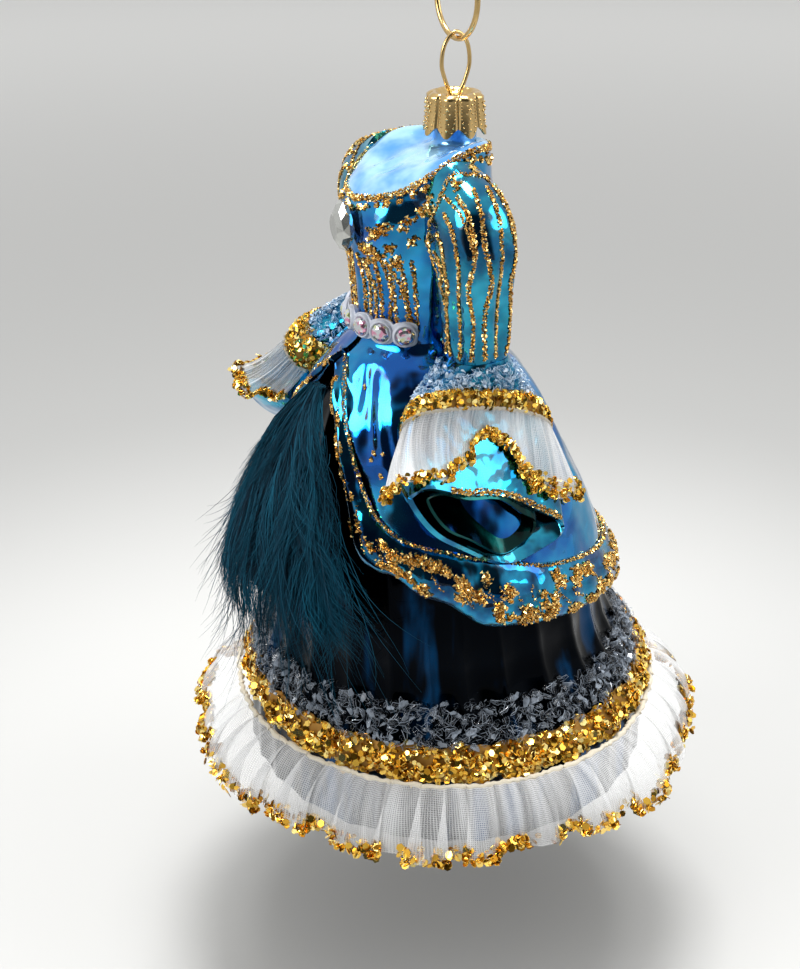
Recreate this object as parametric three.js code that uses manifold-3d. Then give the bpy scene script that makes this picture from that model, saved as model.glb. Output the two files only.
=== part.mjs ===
// A small hanging gown: a blown-glass court dress with organza ruffles, glued trims, a plume and
// the stamped cap, wire loop and ring that it hangs by.
// Millimetres, +Z up. The gown faces -Y and its left side is +X. Heights in the tables are counted
// from the hem line; the whole gown is then lowered so that the origin is where the ring is held.
// Angles round the gown are in degrees from the front, growing towards the gown's left.
import * as THREE from "three";
import { mergeVertices } from "three/addons/utils/BufferGeometryUtils.js";
import Module from "manifold-3d";

const wasm = await Module();
wasm.setup();

// Driving dimensions.
const glassWall = 1.2;
const organzaWall = 1.0;
const capWall = 0.5;
const seamGap = 0.3;
const waistHeight = 89;
const footHeight = -22;
const capTopHeight = 140.4;
const capCentreY = -0.5;
const ringRadius = 8.4;
const ringWire = 0.6;
const loopWire = 0.45;
const loopTopHeight = 152.4;
const ringHeight = loopTopHeight - loopWire - seamGap - ringWire + ringRadius;
const hangHeight = ringHeight + ringRadius - ringWire;

// Outside of the skirt, as circles: height, centre along Y, radius.
const skirtRows = [
  { height: -22, centre: 0, radius: 51.4 },
  { height: -8, centre: -0.2, radius: 50.8 },
  { height: 0, centre: -0.6, radius: 50.2 },
  { height: 5.5, centre: -1.5, radius: 48.2 },
  { height: 15, centre: -3, radius: 44.9 },
  { height: 26, centre: -4, radius: 43.6 },
  { height: 35.5, centre: -5, radius: 41.5 },
  { height: 48.5, centre: -6, radius: 37.2 },
  { height: 61, centre: -7.2, radius: 31.8 },
  { height: 69, centre: -8, radius: 28.7 },
  { height: 76, centre: -8.6, radius: 25.4 },
  { height: 80, centre: -9, radius: 22.6 },
  { height: 83, centre: -9.5, radius: 20 },
  { height: 86, centre: -9.9, radius: 17.2 },
  { height: 89, centre: -10.2, radius: 14.6 },
];

// How far the underskirt lies inside that outline, and how deep its pleats are.
const underskirtRows = [
  { height: -22, inset: 0.4, pleat: 1.0 },
  { height: 0, inset: 0.5, pleat: 1.0 },
  { height: 10, inset: 0.9, pleat: 0.9 },
  { height: 19, inset: 2.3, pleat: 0.8 },
  { height: 30, inset: 2.7, pleat: 0.7 },
  { height: 60, inset: 2.7, pleat: 0.4 },
  { height: 86, inset: 2.4, pleat: 0.2 },
];
const pleatCount = 16;

// Outside of the bodice, as ovals.
const bodiceRows = [
  { height: 89, centre: -10.2, halfWidth: 14.2, halfDepth: 13.6 },
  { height: 92, centre: -10, halfWidth: 14, halfDepth: 13.5 },
  { height: 98, centre: -10, halfWidth: 14.4, halfDepth: 13.8 },
  { height: 104, centre: -9.8, halfWidth: 15.2, halfDepth: 14.5 },
  { height: 110, centre: -9.6, halfWidth: 16, halfDepth: 15.4 },
  { height: 116, centre: -9.4, halfWidth: 16.3, halfDepth: 16.2 },
  { height: 121, centre: -9, halfWidth: 16.2, halfDepth: 15.7 },
  { height: 126, centre: -8.8, halfWidth: 15.9, halfDepth: 15 },
  { height: 131, centre: -8.5, halfWidth: 15.3, halfDepth: 14.2 },
];
const bustHeight = 115;
const bustDepth = 1.3;

// Height of the neckline from the front round to the back. It also leans: the gown's right side is
// cut lower than its left.
const necklineRows = [
  { angle: 0, height: 120.4 },
  { angle: 40, height: 122.4 },
  { angle: 62, height: 125.4 },
  { angle: 90, height: 129.4 },
  { angle: 118, height: 130.2 },
  { angle: 150, height: 129.2 },
  { angle: 180, height: 128.6 },
];
const necklineLean = { drop: 0.4, sway: 0.8 };

// The draped overskirt's lower edge and the top of its border, from the front opening to the back.
const drapeRows = [
  { angle: 4, edge: 82.5, border: 85.6 },
  { angle: 10, edge: 78.5, border: 83.6 },
  { angle: 16, edge: 74.5, border: 80.6 },
  { angle: 21, edge: 70, border: 77 },
  { angle: 26, edge: 63.5, border: 72.5 },
  { angle: 31, edge: 56, border: 67.5 },
  { angle: 36, edge: 47.5, border: 62 },
  { angle: 43, edge: 44.6, border: 56 },
  { angle: 50, edge: 43.6, border: 52.8 },
  { angle: 57, edge: 40.2, border: 51.2 },
  { angle: 66, edge: 38.2, border: 50 },
  { angle: 76, edge: 33, border: 48.4 },
  { angle: 86, edge: 31.4, border: 46.6 },
  { angle: 98, edge: 30, border: 43.6 },
  { angle: 118, edge: 28, border: 40.2 },
  { angle: 146, edge: 24, border: 36 },
  { angle: 179.6, edge: 21.5, border: 33.6 },
];
const borderBulge = 2.1;

// Rings of an upper sleeve: the turn from the armhole's upright plane to level, in degrees, the
// armpit corner it turns about, and its half sizes.
const sleeveRows = [
  { step: 0, turn: 0, armpitX: 16.6, armpitZ: 105.5, halfAcross: 12, centreY: -8.4, halfDepth: 7.6 },
  { step: 1, turn: 24, armpitX: 16.7, armpitZ: 105.4, halfAcross: 11.2, centreY: -8.4, halfDepth: 7.9 },
  { step: 2, turn: 50, armpitX: 16.8, armpitZ: 105.3, halfAcross: 9, centreY: -8.4, halfDepth: 7.8 },
  { step: 3, turn: 74, armpitX: 16.6, armpitZ: 105.2, halfAcross: 7.4, centreY: -8.2, halfDepth: 7.5 },
  { step: 4, turn: 90, armpitX: 16.4, armpitZ: 103.5, halfAcross: 6.6, centreY: -7.9, halfDepth: 7.2 },
  { step: 5, turn: 90, armpitX: 16.2, armpitZ: 97, halfAcross: 6.2, centreY: -7.3, halfDepth: 6.8 },
  { step: 6, turn: 90, armpitX: 16.2, armpitZ: 89.3, halfAcross: 5.9, centreY: -6.9, halfDepth: 6.6 },
];
const armholeBlend = 1.6;

// Rings of the bell cuff below it: centre, half depth along Y, half height across, how far the ring
// has tilted outwards and how far its front end is raised, both in degrees. The mouth also bows up
// towards both its ends.
const bellRows = [
  { step: 0, x: 22.3, y: -6.9, z: 89, halfDepth: 6.6, halfAcross: 5.9, tilt: 0, nod: 0 },
  { step: 1, x: 23.4, y: -8.4, z: 81.1, halfDepth: 12.6, halfAcross: 6.2, tilt: 31, nod: 10 },
  { step: 2, x: 25.9, y: -8.4, z: 75.1, halfDepth: 17, halfAcross: 6.8, tilt: 59, nod: 14 },
  { step: 3, x: 28.9, y: -10, z: 68.6, halfDepth: 19, halfAcross: 7.6, tilt: 71, nod: 12 },
  { step: 4, x: 33.8, y: -11.6, z: 61.2, halfDepth: 19.9, halfAcross: 8.6, tilt: 82, nod: 15 },
  { step: 5, x: 38.8, y: -12.8, z: 55.6, halfDepth: 19.9, halfAcross: 8.1, tilt: 93, nod: 23 },
];
const sleeveFullness = 2.5;
const mouthFullness = 1.65;
const bellLipWaves = 5;
const bellLipWave = 0.7;
const bellMouthBow = 3.6;
const rightArmSwing = 6;

// A cuff ruffle's fall round the bell: angle from straight out (front is negative), the step of the
// bell's table that its lower edge reaches and how far that edge stands off the bell.
const cuffFallRows = [
  { angle: -132, to: 3, reach: 3 },
  { angle: -105, to: 4, reach: 3.2 },
  { angle: -90, to: 4.4, reach: 2.6 },
  { angle: -75, to: 4.7, reach: 1.9 },
  { angle: -60, to: 4.8, reach: 1.4 },
  { angle: -45, to: 4.8, reach: 1.1 },
  { angle: -28, to: 4.7, reach: 0.9 },
  { angle: -18, to: 4.5, reach: 0.8 },
  { angle: -12, to: 4.1, reach: 0.7 },
  { angle: -6, to: 3.6, reach: 0.7 },
  { angle: 0, to: 3.25, reach: 0.7 },
  { angle: 8, to: 3.45, reach: 0.8 },
  { angle: 14, to: 3.8, reach: 1 },
  { angle: 22, to: 4.3, reach: 1.6 },
  { angle: 32, to: 4.7, reach: 2.2 },
  { angle: 46, to: 4.8, reach: 3 },
  { angle: 60, to: 4.7, reach: 3.5 },
  { angle: 75, to: 4.4, reach: 4.5 },
  { angle: 88, to: 4.1, reach: 6 },
  { angle: 105, to: 3.8, reach: 6 },
  { angle: 132, to: 3, reach: 3.4 },
];
const cuffFrost = { from: 0.35, to: 1.3, stand: 0.45, thickness: 1.1 };
const cuffBand = { from: 1.4, to: 2.25, stand: 0.45, thickness: 1.5 };
const cuffRuffle = { headStep: 2.35, gathers: 9, gatherDepth: 0.9, stand: 0.8, fall: 1.4 };

const hemBand = { low: -4, high: 3.6, stand: 0.35, thickness: 1.8, ragged: 0, rows: 3 };
const hemFrost = { low: 4, high: 12.8, stand: 0.5, thickness: 1.3, ragged: 1.2, rows: 2 };

// The hem ruffle from its gathered head to its edge.
const ruffleRows = [
  { fall: 0, height: -3.9, radius: 52.6, wave: 0.2 },
  { fall: 0.12, height: -4.2, radius: 55, wave: 0.5 },
  { fall: 0.4, height: -7, radius: 59, wave: 1.3 },
  { fall: 0.7, height: -10.8, radius: 62, wave: 2 },
  { fall: 1, height: -15.4, radius: 63.8, wave: 2.6 },
];
const ruffle = { waves: 26, slowWaves: 7, slowShare: 0.4, centreY: -0.8, drop: 0.25 };

const belt = { height: 92.2, halfSpan: 63, halfHeight: 1.7, lobe: 1.2, stand: 0.35, thickness: 1 };
const stoneAngles = [-52.5, -31.5, -10.5, 10.5, 31.5, 52.5];
const stonePitch = 21;
const stoneRings = [
  { out: 0, wide: 1.7, tall: 1.7 },
  { out: 0.5, wide: 2.1, tall: 2.1 },
  { out: 1.3, wide: 1.2, tall: 1.2 },
];
const brooch = { height: 114.6, stand: 0.5 };
const broochRings = [
  { out: 0, wide: 3.8, tall: 5.2 },
  { out: 1.4, wide: 4.6, tall: 6.1 },
  { out: 3.6, wide: 2.4, tall: 3.6 },
];

// Half of the wire loop, from its spread end in the neck up to the crown.
const loopRows = [
  { y: 2.9, z: 131.5 },
  { y: 1.9, z: 134.5 },
  { y: 1.1, z: 137.4 },
  { y: 1.1, z: 139.6 },
  { y: 2.4, z: 142.4 },
  { y: 3.4, z: 146 },
  { y: 2.6, z: 150.2 },
];

const cap = {
  radius: 6,
  flare: 0.75,
  petals: 8,
  petalRelief: 0.22,
  tipHeight: 131.4,
  notch: 1.9,
  hole: 1.9,
  sideShare: 0.6,
  shoulderDrop: 0.9,
  crown: 0.9,
  crownDip: 0.5,
};
const neckTube = { radius: 4.8, wall: 0.9, base: 128.4, underCapTop: 3.2, straightFrom: 1.2 };
const neckDome = { share: 5 / 7, wall: 0.96, crown: 1.6, frontCrown: 1.2, sweep: 1.2, tuck: 0.2 };

const plumeRows = [
  { fall: 0, height: 80, angle: 4, halfAngle: 5, depth: 2.4 },
  { fall: 0.14, height: 71, angle: 5, halfAngle: 17, depth: 6.5 },
  { fall: 0.35, height: 57, angle: 8, halfAngle: 26, depth: 9.5 },
  { fall: 0.6, height: 41, angle: 12, halfAngle: 31, depth: 10 },
  { fall: 0.8, height: 31, angle: 14, halfAngle: 31, depth: 8.5 },
  { fall: 1, height: 22, angle: 15, halfAngle: 27, depth: 5 },
];
const plume = { stand: 0.6, lobes: 11, lobeDepth: 0.13, fringe: 3.2, fringeWaves: 9, locks: 20 };
const lock = {
  radius: 0.9,
  taper: 0.8,
  start: 0.12,
  startSpread: 0.66,
  reach: 0.2,
  reachSpread: 0.16,
  pastEnd: 60,
};

const degrees = Math.PI / 180;
const tau = Math.PI * 2;

// A smooth curve through one column of a table, read at a value of its key column.
function read(rows, key, column, at) {
  const last = rows.length - 1;
  if (at <= rows[0][key]) return rows[0][column];
  if (at >= rows[last][key]) return rows[last][column];
  let i = 0;
  while (at > rows[i + 1][key]) i++;
  const [a, b] = [rows[i], rows[i + 1]];
  const before = rows[Math.max(i - 1, 0)];
  const after = rows[Math.min(i + 2, last)];
  const span = b[key] - a[key];
  const s = (at - a[key]) / span;
  const leaving = ((b[column] - before[column]) / (b[key] - before[key])) * span;
  const arriving = ((after[column] - a[column]) / (after[key] - a[key])) * span;
  return (
    (2 * s ** 3 - 3 * s ** 2 + 1) * a[column] +
    (s ** 3 - 2 * s ** 2 + s) * leaving +
    (3 * s ** 2 - 2 * s ** 3) * b[column] +
    (s ** 3 - s ** 2) * arriving
  );
}

// Mirrors a one-sided table angle: degrees round the gown, counted from the front on either side.
const fromFront = (angle) => Math.abs(((((angle + 180) % 360) + 360) % 360) - 180);

function skirtPoint(angle, height, out = 0) {
  const centre = read(skirtRows, "height", "centre", height);
  const radius = read(skirtRows, "height", "radius", height) + out;
  const a = angle * degrees;
  return new THREE.Vector3(radius * Math.sin(a), centre - radius * Math.cos(a), height);
}

function underskirtPoint(angle, height, out = 0) {
  const inset = read(underskirtRows, "height", "inset", height);
  const pleat = read(underskirtRows, "height", "pleat", height);
  const fold = pleat * Math.cos(pleatCount * angle * degrees);
  return skirtPoint(angle, height, out - inset + fold * 0.5);
}

function bodicePoint(angle, height, out = 0) {
  const centre = read(bodiceRows, "height", "centre", height);
  const a = angle * degrees;
  const side = Math.exp(-(((fromFront(angle) - 28) / 20) ** 2));
  const level = Math.exp(-(((height - bustHeight) / 5) ** 2));
  const push = out + bustDepth * side * level;
  const width = read(bodiceRows, "height", "halfWidth", height) + push;
  const depth = read(bodiceRows, "height", "halfDepth", height) + push;
  return new THREE.Vector3(width * Math.sin(a), centre - depth * Math.cos(a), height);
}

// How far out the bodice's side stands at a given depth and height.
function bodiceSide(y, z) {
  const centre = read(bodiceRows, "height", "centre", z);
  const along = (y - centre) / read(bodiceRows, "height", "halfDepth", z);
  return read(bodiceRows, "height", "halfWidth", z) * Math.sqrt(Math.max(1 - along ** 2, 0));
}

const necklineAt = (angle) => {
  const lean = necklineLean.sway * Math.sin(angle * degrees) - necklineLean.drop;
  return read(necklineRows, "angle", "height", fromFront(angle)) + lean;
};

// A geometry from points and faces, turned so that its faces point out.
function geometryFrom(points, faces) {
  let volume = 0;
  for (const [a, b, c] of faces)
    volume += points[a].dot(new THREE.Vector3().crossVectors(points[b], points[c]));
  const turned = volume < 0 ? faces.map(([a, b, c]) => [a, c, b]) : faces;
  const geometry = new THREE.BufferGeometry().setFromPoints(points);
  geometry.setIndex(turned.flat());
  return geometry;
}

// A closed body between two skins of (across + 1) by (down + 1) points; each skin is a function of
// u across and v down, both 0 to 1. With around, u = 1 meets u = 0.
function skins(outerAt, innerAt, across, down, around) {
  const columns = around ? across : across + 1;
  const points = [];
  for (const skinAt of [outerAt, innerAt])
    for (let j = 0; j <= down; j++)
      for (let i = 0; i < columns; i++) points.push(skinAt(i / across, j / down));
  const at = (skin, i, j) => (skin * (down + 1) + j) * columns + (i % columns);
  const faces = [];
  const quad = (a, b, c, d) => faces.push([a, b, c], [a, c, d]);
  for (let j = 0; j < down; j++)
    for (let i = 0; i < across; i++) {
      quad(at(0, i, j), at(0, i, j + 1), at(0, i + 1, j + 1), at(0, i + 1, j));
      quad(at(1, i, j), at(1, i + 1, j), at(1, i + 1, j + 1), at(1, i, j + 1));
    }
  for (let i = 0; i < across; i++) {
    quad(at(0, i, 0), at(0, i + 1, 0), at(1, i + 1, 0), at(1, i, 0));
    quad(at(0, i, down), at(1, i, down), at(1, i + 1, down), at(0, i + 1, down));
  }
  if (!around)
    for (let j = 0; j < down; j++) {
      quad(at(0, 0, j), at(1, 0, j), at(1, 0, j + 1), at(0, 0, j + 1));
      quad(at(0, across, j), at(0, across, j + 1), at(1, across, j + 1), at(1, across, j));
    }
  return geometryFrom(points, faces);
}

// A wall of even thickness behind a skin, offset along the skin's own normal.
function wall(skinAt, thickness, across, down, around) {
  const nudge = 1e-3;
  const normalAt = (u, v) => {
    const uLow = around ? u - nudge : Math.max(u - nudge, 0);
    const uHigh = around ? u + nudge : Math.min(u + nudge, 1);
    const alongU = skinAt(uHigh, v).sub(skinAt(uLow, v));
    const alongV = skinAt(u, Math.min(v + nudge, 1)).sub(skinAt(u, Math.max(v - nudge, 0)));
    return alongU.cross(alongV).normalize();
  };
  const innerAt = (u, v) => skinAt(u, v).addScaledVector(normalAt(u, v), thickness);
  return skins(skinAt, innerAt, across, down, around);
}

function toSolid(geometry) {
  const bare = geometry.clone();
  for (const name of ["normal", "uv"]) bare.deleteAttribute(name);
  const merged = mergeVertices(bare, 1e-4);
  return new wasm.Manifold(
    new wasm.Mesh({
      numProp: 3,
      vertProperties: merged.attributes.position.array,
      triVerts: new Uint32Array(merged.index.array),
    }),
  );
}

function toGeometry(solid) {
  const mesh = solid.getMesh();
  const geometry = new THREE.BufferGeometry();
  geometry.setAttribute("position", new THREE.BufferAttribute(mesh.vertProperties, 3));
  geometry.setIndex(new THREE.BufferAttribute(mesh.triVerts, 1));
  return geometry;
}

// The largest single body of a cut, so that no sliver is left beside it.
function mainBody(solid) {
  const bodies = solid.decompose().sort((a, b) => b.volume() - a.volume());
  return toGeometry(bodies[0]);
}

// Finishes, one for each material of the real piece.
const finishes = {
  cyanGlass: { color: 0x2a8fd0, roughness: 0.12, metalness: 0.9 },
  navyGlass: { color: 0x0b2740, roughness: 0.12, metalness: 0.9 },
  paleGlass: { color: 0x8cc4ee, roughness: 0.15, metalness: 0.8 },
  organza: { color: 0xe9e7e2, roughness: 0.8, metalness: 0 },
  goldSequins: { color: 0xc9922a, roughness: 0.35, metalness: 0.9 },
  frost: { color: 0x9fb0bd, roughness: 0.2, metalness: 0.1 },
  crystal: { color: 0xe8edf2, roughness: 0.05, metalness: 0.1 },
  milkyResin: { color: 0xd5dcea, roughness: 0.4, metalness: 0 },
  goldMetal: { color: 0xc4a04c, roughness: 0.3, metalness: 1 },
  feather: { color: 0x0d4a5c, roughness: 0.9, metalness: 0 },
};

const gown = new THREE.Group();
gown.position.set(0, -capCentreY, -hangHeight);

function addPiece(name, geometry, finish) {
  const mesh = new THREE.Mesh(geometry, new THREE.MeshStandardMaterial(finishes[finish]));
  mesh.name = name;
  gown.add(mesh);
  return mesh;
}

const sides = [
  { name: "left", sign: 1 },
  { name: "right", sign: -1 },
];

// Glass skirt.

function makeUnderskirt() {
  const top = 86;
  const skinAt = (u, v) => underskirtPoint(u * 360, top + (footHeight - top) * v);
  return wall(skinAt, glassWall, pleatCount * 3, 6, true);
}

// The overskirt is drawn as two halves, each from the front opening to the centre back.
const drapeColumns = 24;
const drapeAngle = (u) => {
  const [first, last] = [drapeRows[0].angle, drapeRows[drapeRows.length - 1].angle];
  return first + (last - first) * u ** 1.3;
};

// The seam along the top of the border, kept even where the border runs steeply.
function drapeSeam(u) {
  const [before, after] = [Math.max(u - 0.02, 0), Math.min(u + 0.02, 1)].map((at) =>
    skirtPoint(drapeAngle(at), read(drapeRows, "angle", "border", drapeAngle(at))),
  );
  const rise = Math.abs(after.z - before.z);
  return (seamGap * after.distanceTo(before)) / Math.sqrt(after.distanceToSquared(before) - rise ** 2);
}

function makeOverskirt(sign) {
  const top = waistHeight - seamGap;
  const at = (out) => (u, v) => {
    const low = read(drapeRows, "angle", "border", drapeAngle(u)) + drapeSeam(u);
    return skirtPoint(sign * drapeAngle(u), top + (low - top) * v, out);
  };
  return skins(at(0), at(-glassWall), drapeColumns, 5, false);
}

function makeDrapeBorder(sign) {
  const at = (inset) => (u, v) => {
    const high = read(drapeRows, "angle", "border", drapeAngle(u));
    const low = read(drapeRows, "angle", "edge", drapeAngle(u));
    const bulge = inset ? -inset : borderBulge * Math.sin(Math.PI * v) ** 0.7;
    return skirtPoint(sign * drapeAngle(u), high + (low - high) * v, bulge);
  };
  return skins(at(0), at(glassWall), drapeColumns, 4, false);
}

addPiece("underskirt", makeUnderskirt(), "navyGlass");
for (const side of sides) {
  addPiece(`overskirt_${side.name}`, makeOverskirt(side.sign), "cyanGlass");
  addPiece(`drape_border_${side.name}`, makeDrapeBorder(side.sign), "cyanGlass");
}

// Glass bodice.

function armholeCutter(sign) {
  const armhole = sleeveRows[0];
  const hole = new THREE.CylinderGeometry(1, 1, 12, 20);
  hole.rotateZ(Math.PI / 2);
  hole.scale(1, armhole.halfDepth - 2, armhole.halfAcross - 2);
  hole.translate(sign * armhole.armpitX, armhole.centreY, armhole.armpitZ + armhole.halfAcross);
  return toSolid(hole);
}

function makeBodiceHalf(fromAngle, toAngle) {
  const skinAt = (u, v) => {
    const angle = fromAngle + (toAngle - fromAngle) * u;
    const top = necklineAt(angle);
    return bodicePoint(angle, waistHeight + (top - waistHeight) * v);
  };
  let solid = toSolid(wall(skinAt, -glassWall, 15, 5, false));
  for (const side of sides) solid = solid.subtract(armholeCutter(side.sign));
  return mainBody(solid);
}

// The glass that closes the neckline and rises into the neck tube under the cap.
function makeNeckDome() {
  const tubeTop = capTopHeight - neckTube.underCapTop;
  const tubeFoot = neckTube.base + neckTube.straightFrom;
  const skinAt = (outer) => (u, v) => {
    const angle = u * 360;
    const a = angle * degrees;
    const edge = bodicePoint(angle, necklineAt(angle), outer ? 0 : -neckDome.tuck);
    edge.z += seamGap + (outer ? neckDome.wall : 0);
    const radius = neckTube.radius - (outer ? 0 : neckTube.wall);
    const tube = new THREE.Vector3(radius * Math.sin(a), capCentreY - radius * Math.cos(a), 0);
    if (v > neckDome.share) {
      const rise = (v - neckDome.share) / (1 - neckDome.share);
      return tube.setZ(tubeFoot + (tubeTop - tubeFoot) * rise);
    }
    const inward = v / neckDome.share;
    const base = neckTube.base - (outer ? 0 : neckDome.wall);
    const front = neckDome.frontCrown * (0.5 + 0.5 * Math.cos(a));
    const crown = (neckDome.crown + front) * Math.sin(Math.PI * inward) * (1 - 0.5 * inward);
    const level = edge.z + (base - edge.z) * inward;
    return edge.lerp(tube, inward).setZ(level + crown + neckDome.sweep * inward ** 4);
  };
  return skins(skinAt(true), skinAt(false), 24, 7, true);
}

const sideSeam = 0.6;
addPiece("bodice_front", makeBodiceHalf(-90 + sideSeam, 90 - sideSeam), "cyanGlass");
addPiece("bodice_back", makeBodiceHalf(90 + sideSeam, 270 - sideSeam), "cyanGlass");
addPiece("neck_dome", makeNeckDome(), "paleGlass");

// Sleeves and bell cuffs.

// A unit oval's point at an angle: fuller than an ellipse above a power of 2, pointed below it.
function softOval(angle, power) {
  const [c, s] = [Math.cos(angle), Math.sin(angle)];
  const swell = (Math.abs(c) ** power + Math.abs(s) ** power) ** (-1 / power);
  return [c * swell, s * swell];
}

function sleevePoint(sign, u, v, out = 0) {
  const step = v * (sleeveRows.length - 1);
  const value = (column) => read(sleeveRows, "step", column, step);
  const turn = Math.min(value("turn"), 90) * degrees;
  const [across, along] = softOval(u * tau, sleeveFullness);
  const reach = value("halfAcross") + (value("halfAcross") + out) * across;
  const y = value("centreY") + (value("halfDepth") + out) * along;
  const z = value("armpitZ") + Math.cos(turn) * reach;
  const free = value("armpitX") + Math.sin(turn) * reach;
  const seat = Math.max(1 - step / armholeBlend, 0) ** 2;
  const x = free + (bodiceSide(y, z) - free) * seat;
  return new THREE.Vector3(sign * x, y, z);
}

function bellPoint(sign, u, v, out = 0) {
  const step = v * (bellRows.length - 1);
  const value = (column) => read(bellRows, "step", column, step);
  const tilt = value("tilt") * degrees;
  const power = sleeveFullness + (mouthFullness - sleeveFullness) * v ** 2;
  const [across, along] = softOval(u * tau, power);
  const wave = bellLipWave * v ** 3 * Math.sin(bellLipWaves * u * tau);
  const bow = bellMouthBow * v ** 3 * along ** 2;
  const up = (value("halfAcross") + out + wave) * across;
  const forward = (value("halfDepth") + out) * along;
  return new THREE.Vector3(
    sign * (value("x") + Math.cos(tilt) * up),
    value("y") + forward - (sign < 0 ? rightArmSwing * v : 0),
    value("z") + Math.sin(tilt) * up - Math.tan(value("nod") * degrees) * forward + bow,
  );
}

// A filled body inside level rings of a surface, used to fit other pieces against it.
function filled(pointAt, heights) {
  const across = 40;
  const points = [];
  const faces = [];
  for (const height of heights)
    for (let i = 0; i < across; i++) points.push(pointAt((i / across) * 360, height));
  for (let j = 0; j + 1 < heights.length; j++)
    for (let i = 0; i < across; i++) {
      const [a, b] = [j * across + i, j * across + ((i + 1) % across)];
      faces.push([a, b, b + across], [a, b + across, a + across]);
    }
  const top = (heights.length - 1) * across;
  for (let i = 1; i + 1 < across; i++) faces.push([0, i + 1, i], [top, top + i, top + i + 1]);
  return toSolid(geometryFrom(points, faces));
}

const spread = (from, to, count) =>
  Array.from({ length: count + 1 }, (_, i) => from + ((to - from) * i) / count);
const fitGap = seamGap + 0.15;
const skirtBody = filled((angle, z) => skirtPoint(angle, z, fitGap), spread(20, 89, 14));
const bodiceBody = filled((angle, z) => bodicePoint(angle, z, fitGap), spread(89.5, 131, 9));

function makeBell(sign) {
  const skinAt = (u, v) => bellPoint(sign, u, v * 0.998 + 0.002);
  const bell = toSolid(wall(skinAt, glassWall * sign, 20, 6, true));
  return mainBody(bell.subtract(skirtBody));
}

function makeSleeve(sign) {
  const skinAt = (u, v) => sleevePoint(sign, u, v);
  const sleeve = toSolid(wall(skinAt, glassWall * sign, 18, 7, true));
  return mainBody(sleeve.subtract(bodiceBody));
}

for (const side of sides) {
  addPiece(`sleeve_${side.name}`, makeSleeve(side.sign), "cyanGlass");
  addPiece(`bell_cuff_${side.name}`, makeBell(side.sign), "cyanGlass");
}

// Cuff trims.

// The rounded section of a glued trim, a little above nothing at both edges.
const trimBulge = (v) => Math.sin(Math.PI * (0.12 + 0.76 * v));

// A ring of trim on the bell: from and to are steps of the bell's table.
function makeCuffTrim(sign, trim) {
  const last = bellRows.length - 1;
  const at = (out) => (u, v) => {
    const rise = out ? trim.thickness * trimBulge(v) : 0;
    return bellPoint(sign, u, (trim.from + (trim.to - trim.from) * v) / last, trim.stand + rise);
  };
  return mainBody(toSolid(skins(at(true), at(false), 22, 2, true)).subtract(skirtBody));
}

// The organza ruffle that falls over the bell, open on the inner side of the arm.
function makeCuffRuffle(sign) {
  const last = bellRows.length - 1;
  const first = cuffFallRows[0].angle;
  const span = cuffFallRows[cuffFallRows.length - 1].angle - first;
  const at = (out) => (u, v) => {
    const angle = first + span * u;
    const reach = read(cuffFallRows, "angle", "reach", angle);
    const to = read(cuffFallRows, "angle", "to", angle);
    const wave = cuffRuffle.gatherDepth * v * Math.cos(cuffRuffle.gathers * u * tau);
    const lift = cuffRuffle.stand + reach * v ** cuffRuffle.fall + wave + out;
    const ring = (((angle / 360) % 1) + 1) % 1;
    const step = cuffRuffle.headStep + (to - cuffRuffle.headStep) * v;
    return bellPoint(sign, ring, step / last, lift);
  };
  const solid = toSolid(skins(at(organzaWall), at(0), cuffRuffle.gathers * 4, 3, false));
  return mainBody(solid.subtract(skirtBody));
}

for (const side of sides) {
  addPiece(`cuff_frost_${side.name}`, makeCuffTrim(side.sign, cuffFrost), "frost");
  addPiece(`cuff_band_${side.name}`, makeCuffTrim(side.sign, cuffBand), "goldSequins");
  addPiece(`cuff_ruffle_${side.name}`, makeCuffRuffle(side.sign), "organza");
}

// Hem trims.

function makeHemTrim(trim) {
  const at = (out) => (u, v) => {
    const height = trim.low + (trim.high - trim.low) * v;
    const ragged = trim.ragged * v * Math.sin(u * tau * 23) * Math.cos(u * tau * 9);
    const rise = out ? trim.thickness * trimBulge(v) : 0;
    return underskirtPoint(u * 360, height + ragged, trim.stand + rise);
  };
  return skins(at(true), at(false), pleatCount * 3, trim.rows, true);
}

function makeHemRuffle() {
  const at = (out) => (u, v) => {
    const wave = read(ruffleRows, "fall", "wave", v);
    const a = u * tau;
    const slow = ruffle.slowShare * Math.sin(ruffle.slowWaves * a + 0.7);
    const fold = wave * (Math.cos(ruffle.waves * a + 0.9 * Math.sin(5 * a)) + slow);
    const radius = read(ruffleRows, "fall", "radius", v) + fold + out;
    const height = read(ruffleRows, "fall", "height", v) - ruffle.drop * fold;
    return new THREE.Vector3(radius * Math.sin(a), ruffle.centreY - radius * Math.cos(a), height);
  };
  return skins(at(organzaWall), at(0), ruffle.waves * 4, 3, true);
}

addPiece("hem_frost", makeHemTrim(hemFrost), "frost");
addPiece("hem_band", makeHemTrim(hemBand), "goldSequins");
addPiece("hem_ruffle", makeHemRuffle(), "organza");

// Belt, stones and brooch.

function makeBelt() {
  const at = (out) => (u, v) => {
    const angle = belt.halfSpan * (2 * u - 1);
    const lobes = Math.abs(Math.cos((angle / stonePitch) * Math.PI + Math.PI / 2));
    const half = belt.halfHeight + belt.lobe * Math.sqrt(lobes);
    const height = belt.height + half * (1 - 2 * v);
    return bodicePoint(angle, height, belt.stand + (out ? belt.thickness : 0));
  };
  return skins(at(true), at(false), stoneAngles.length * 6, 2, false);
}

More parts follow.
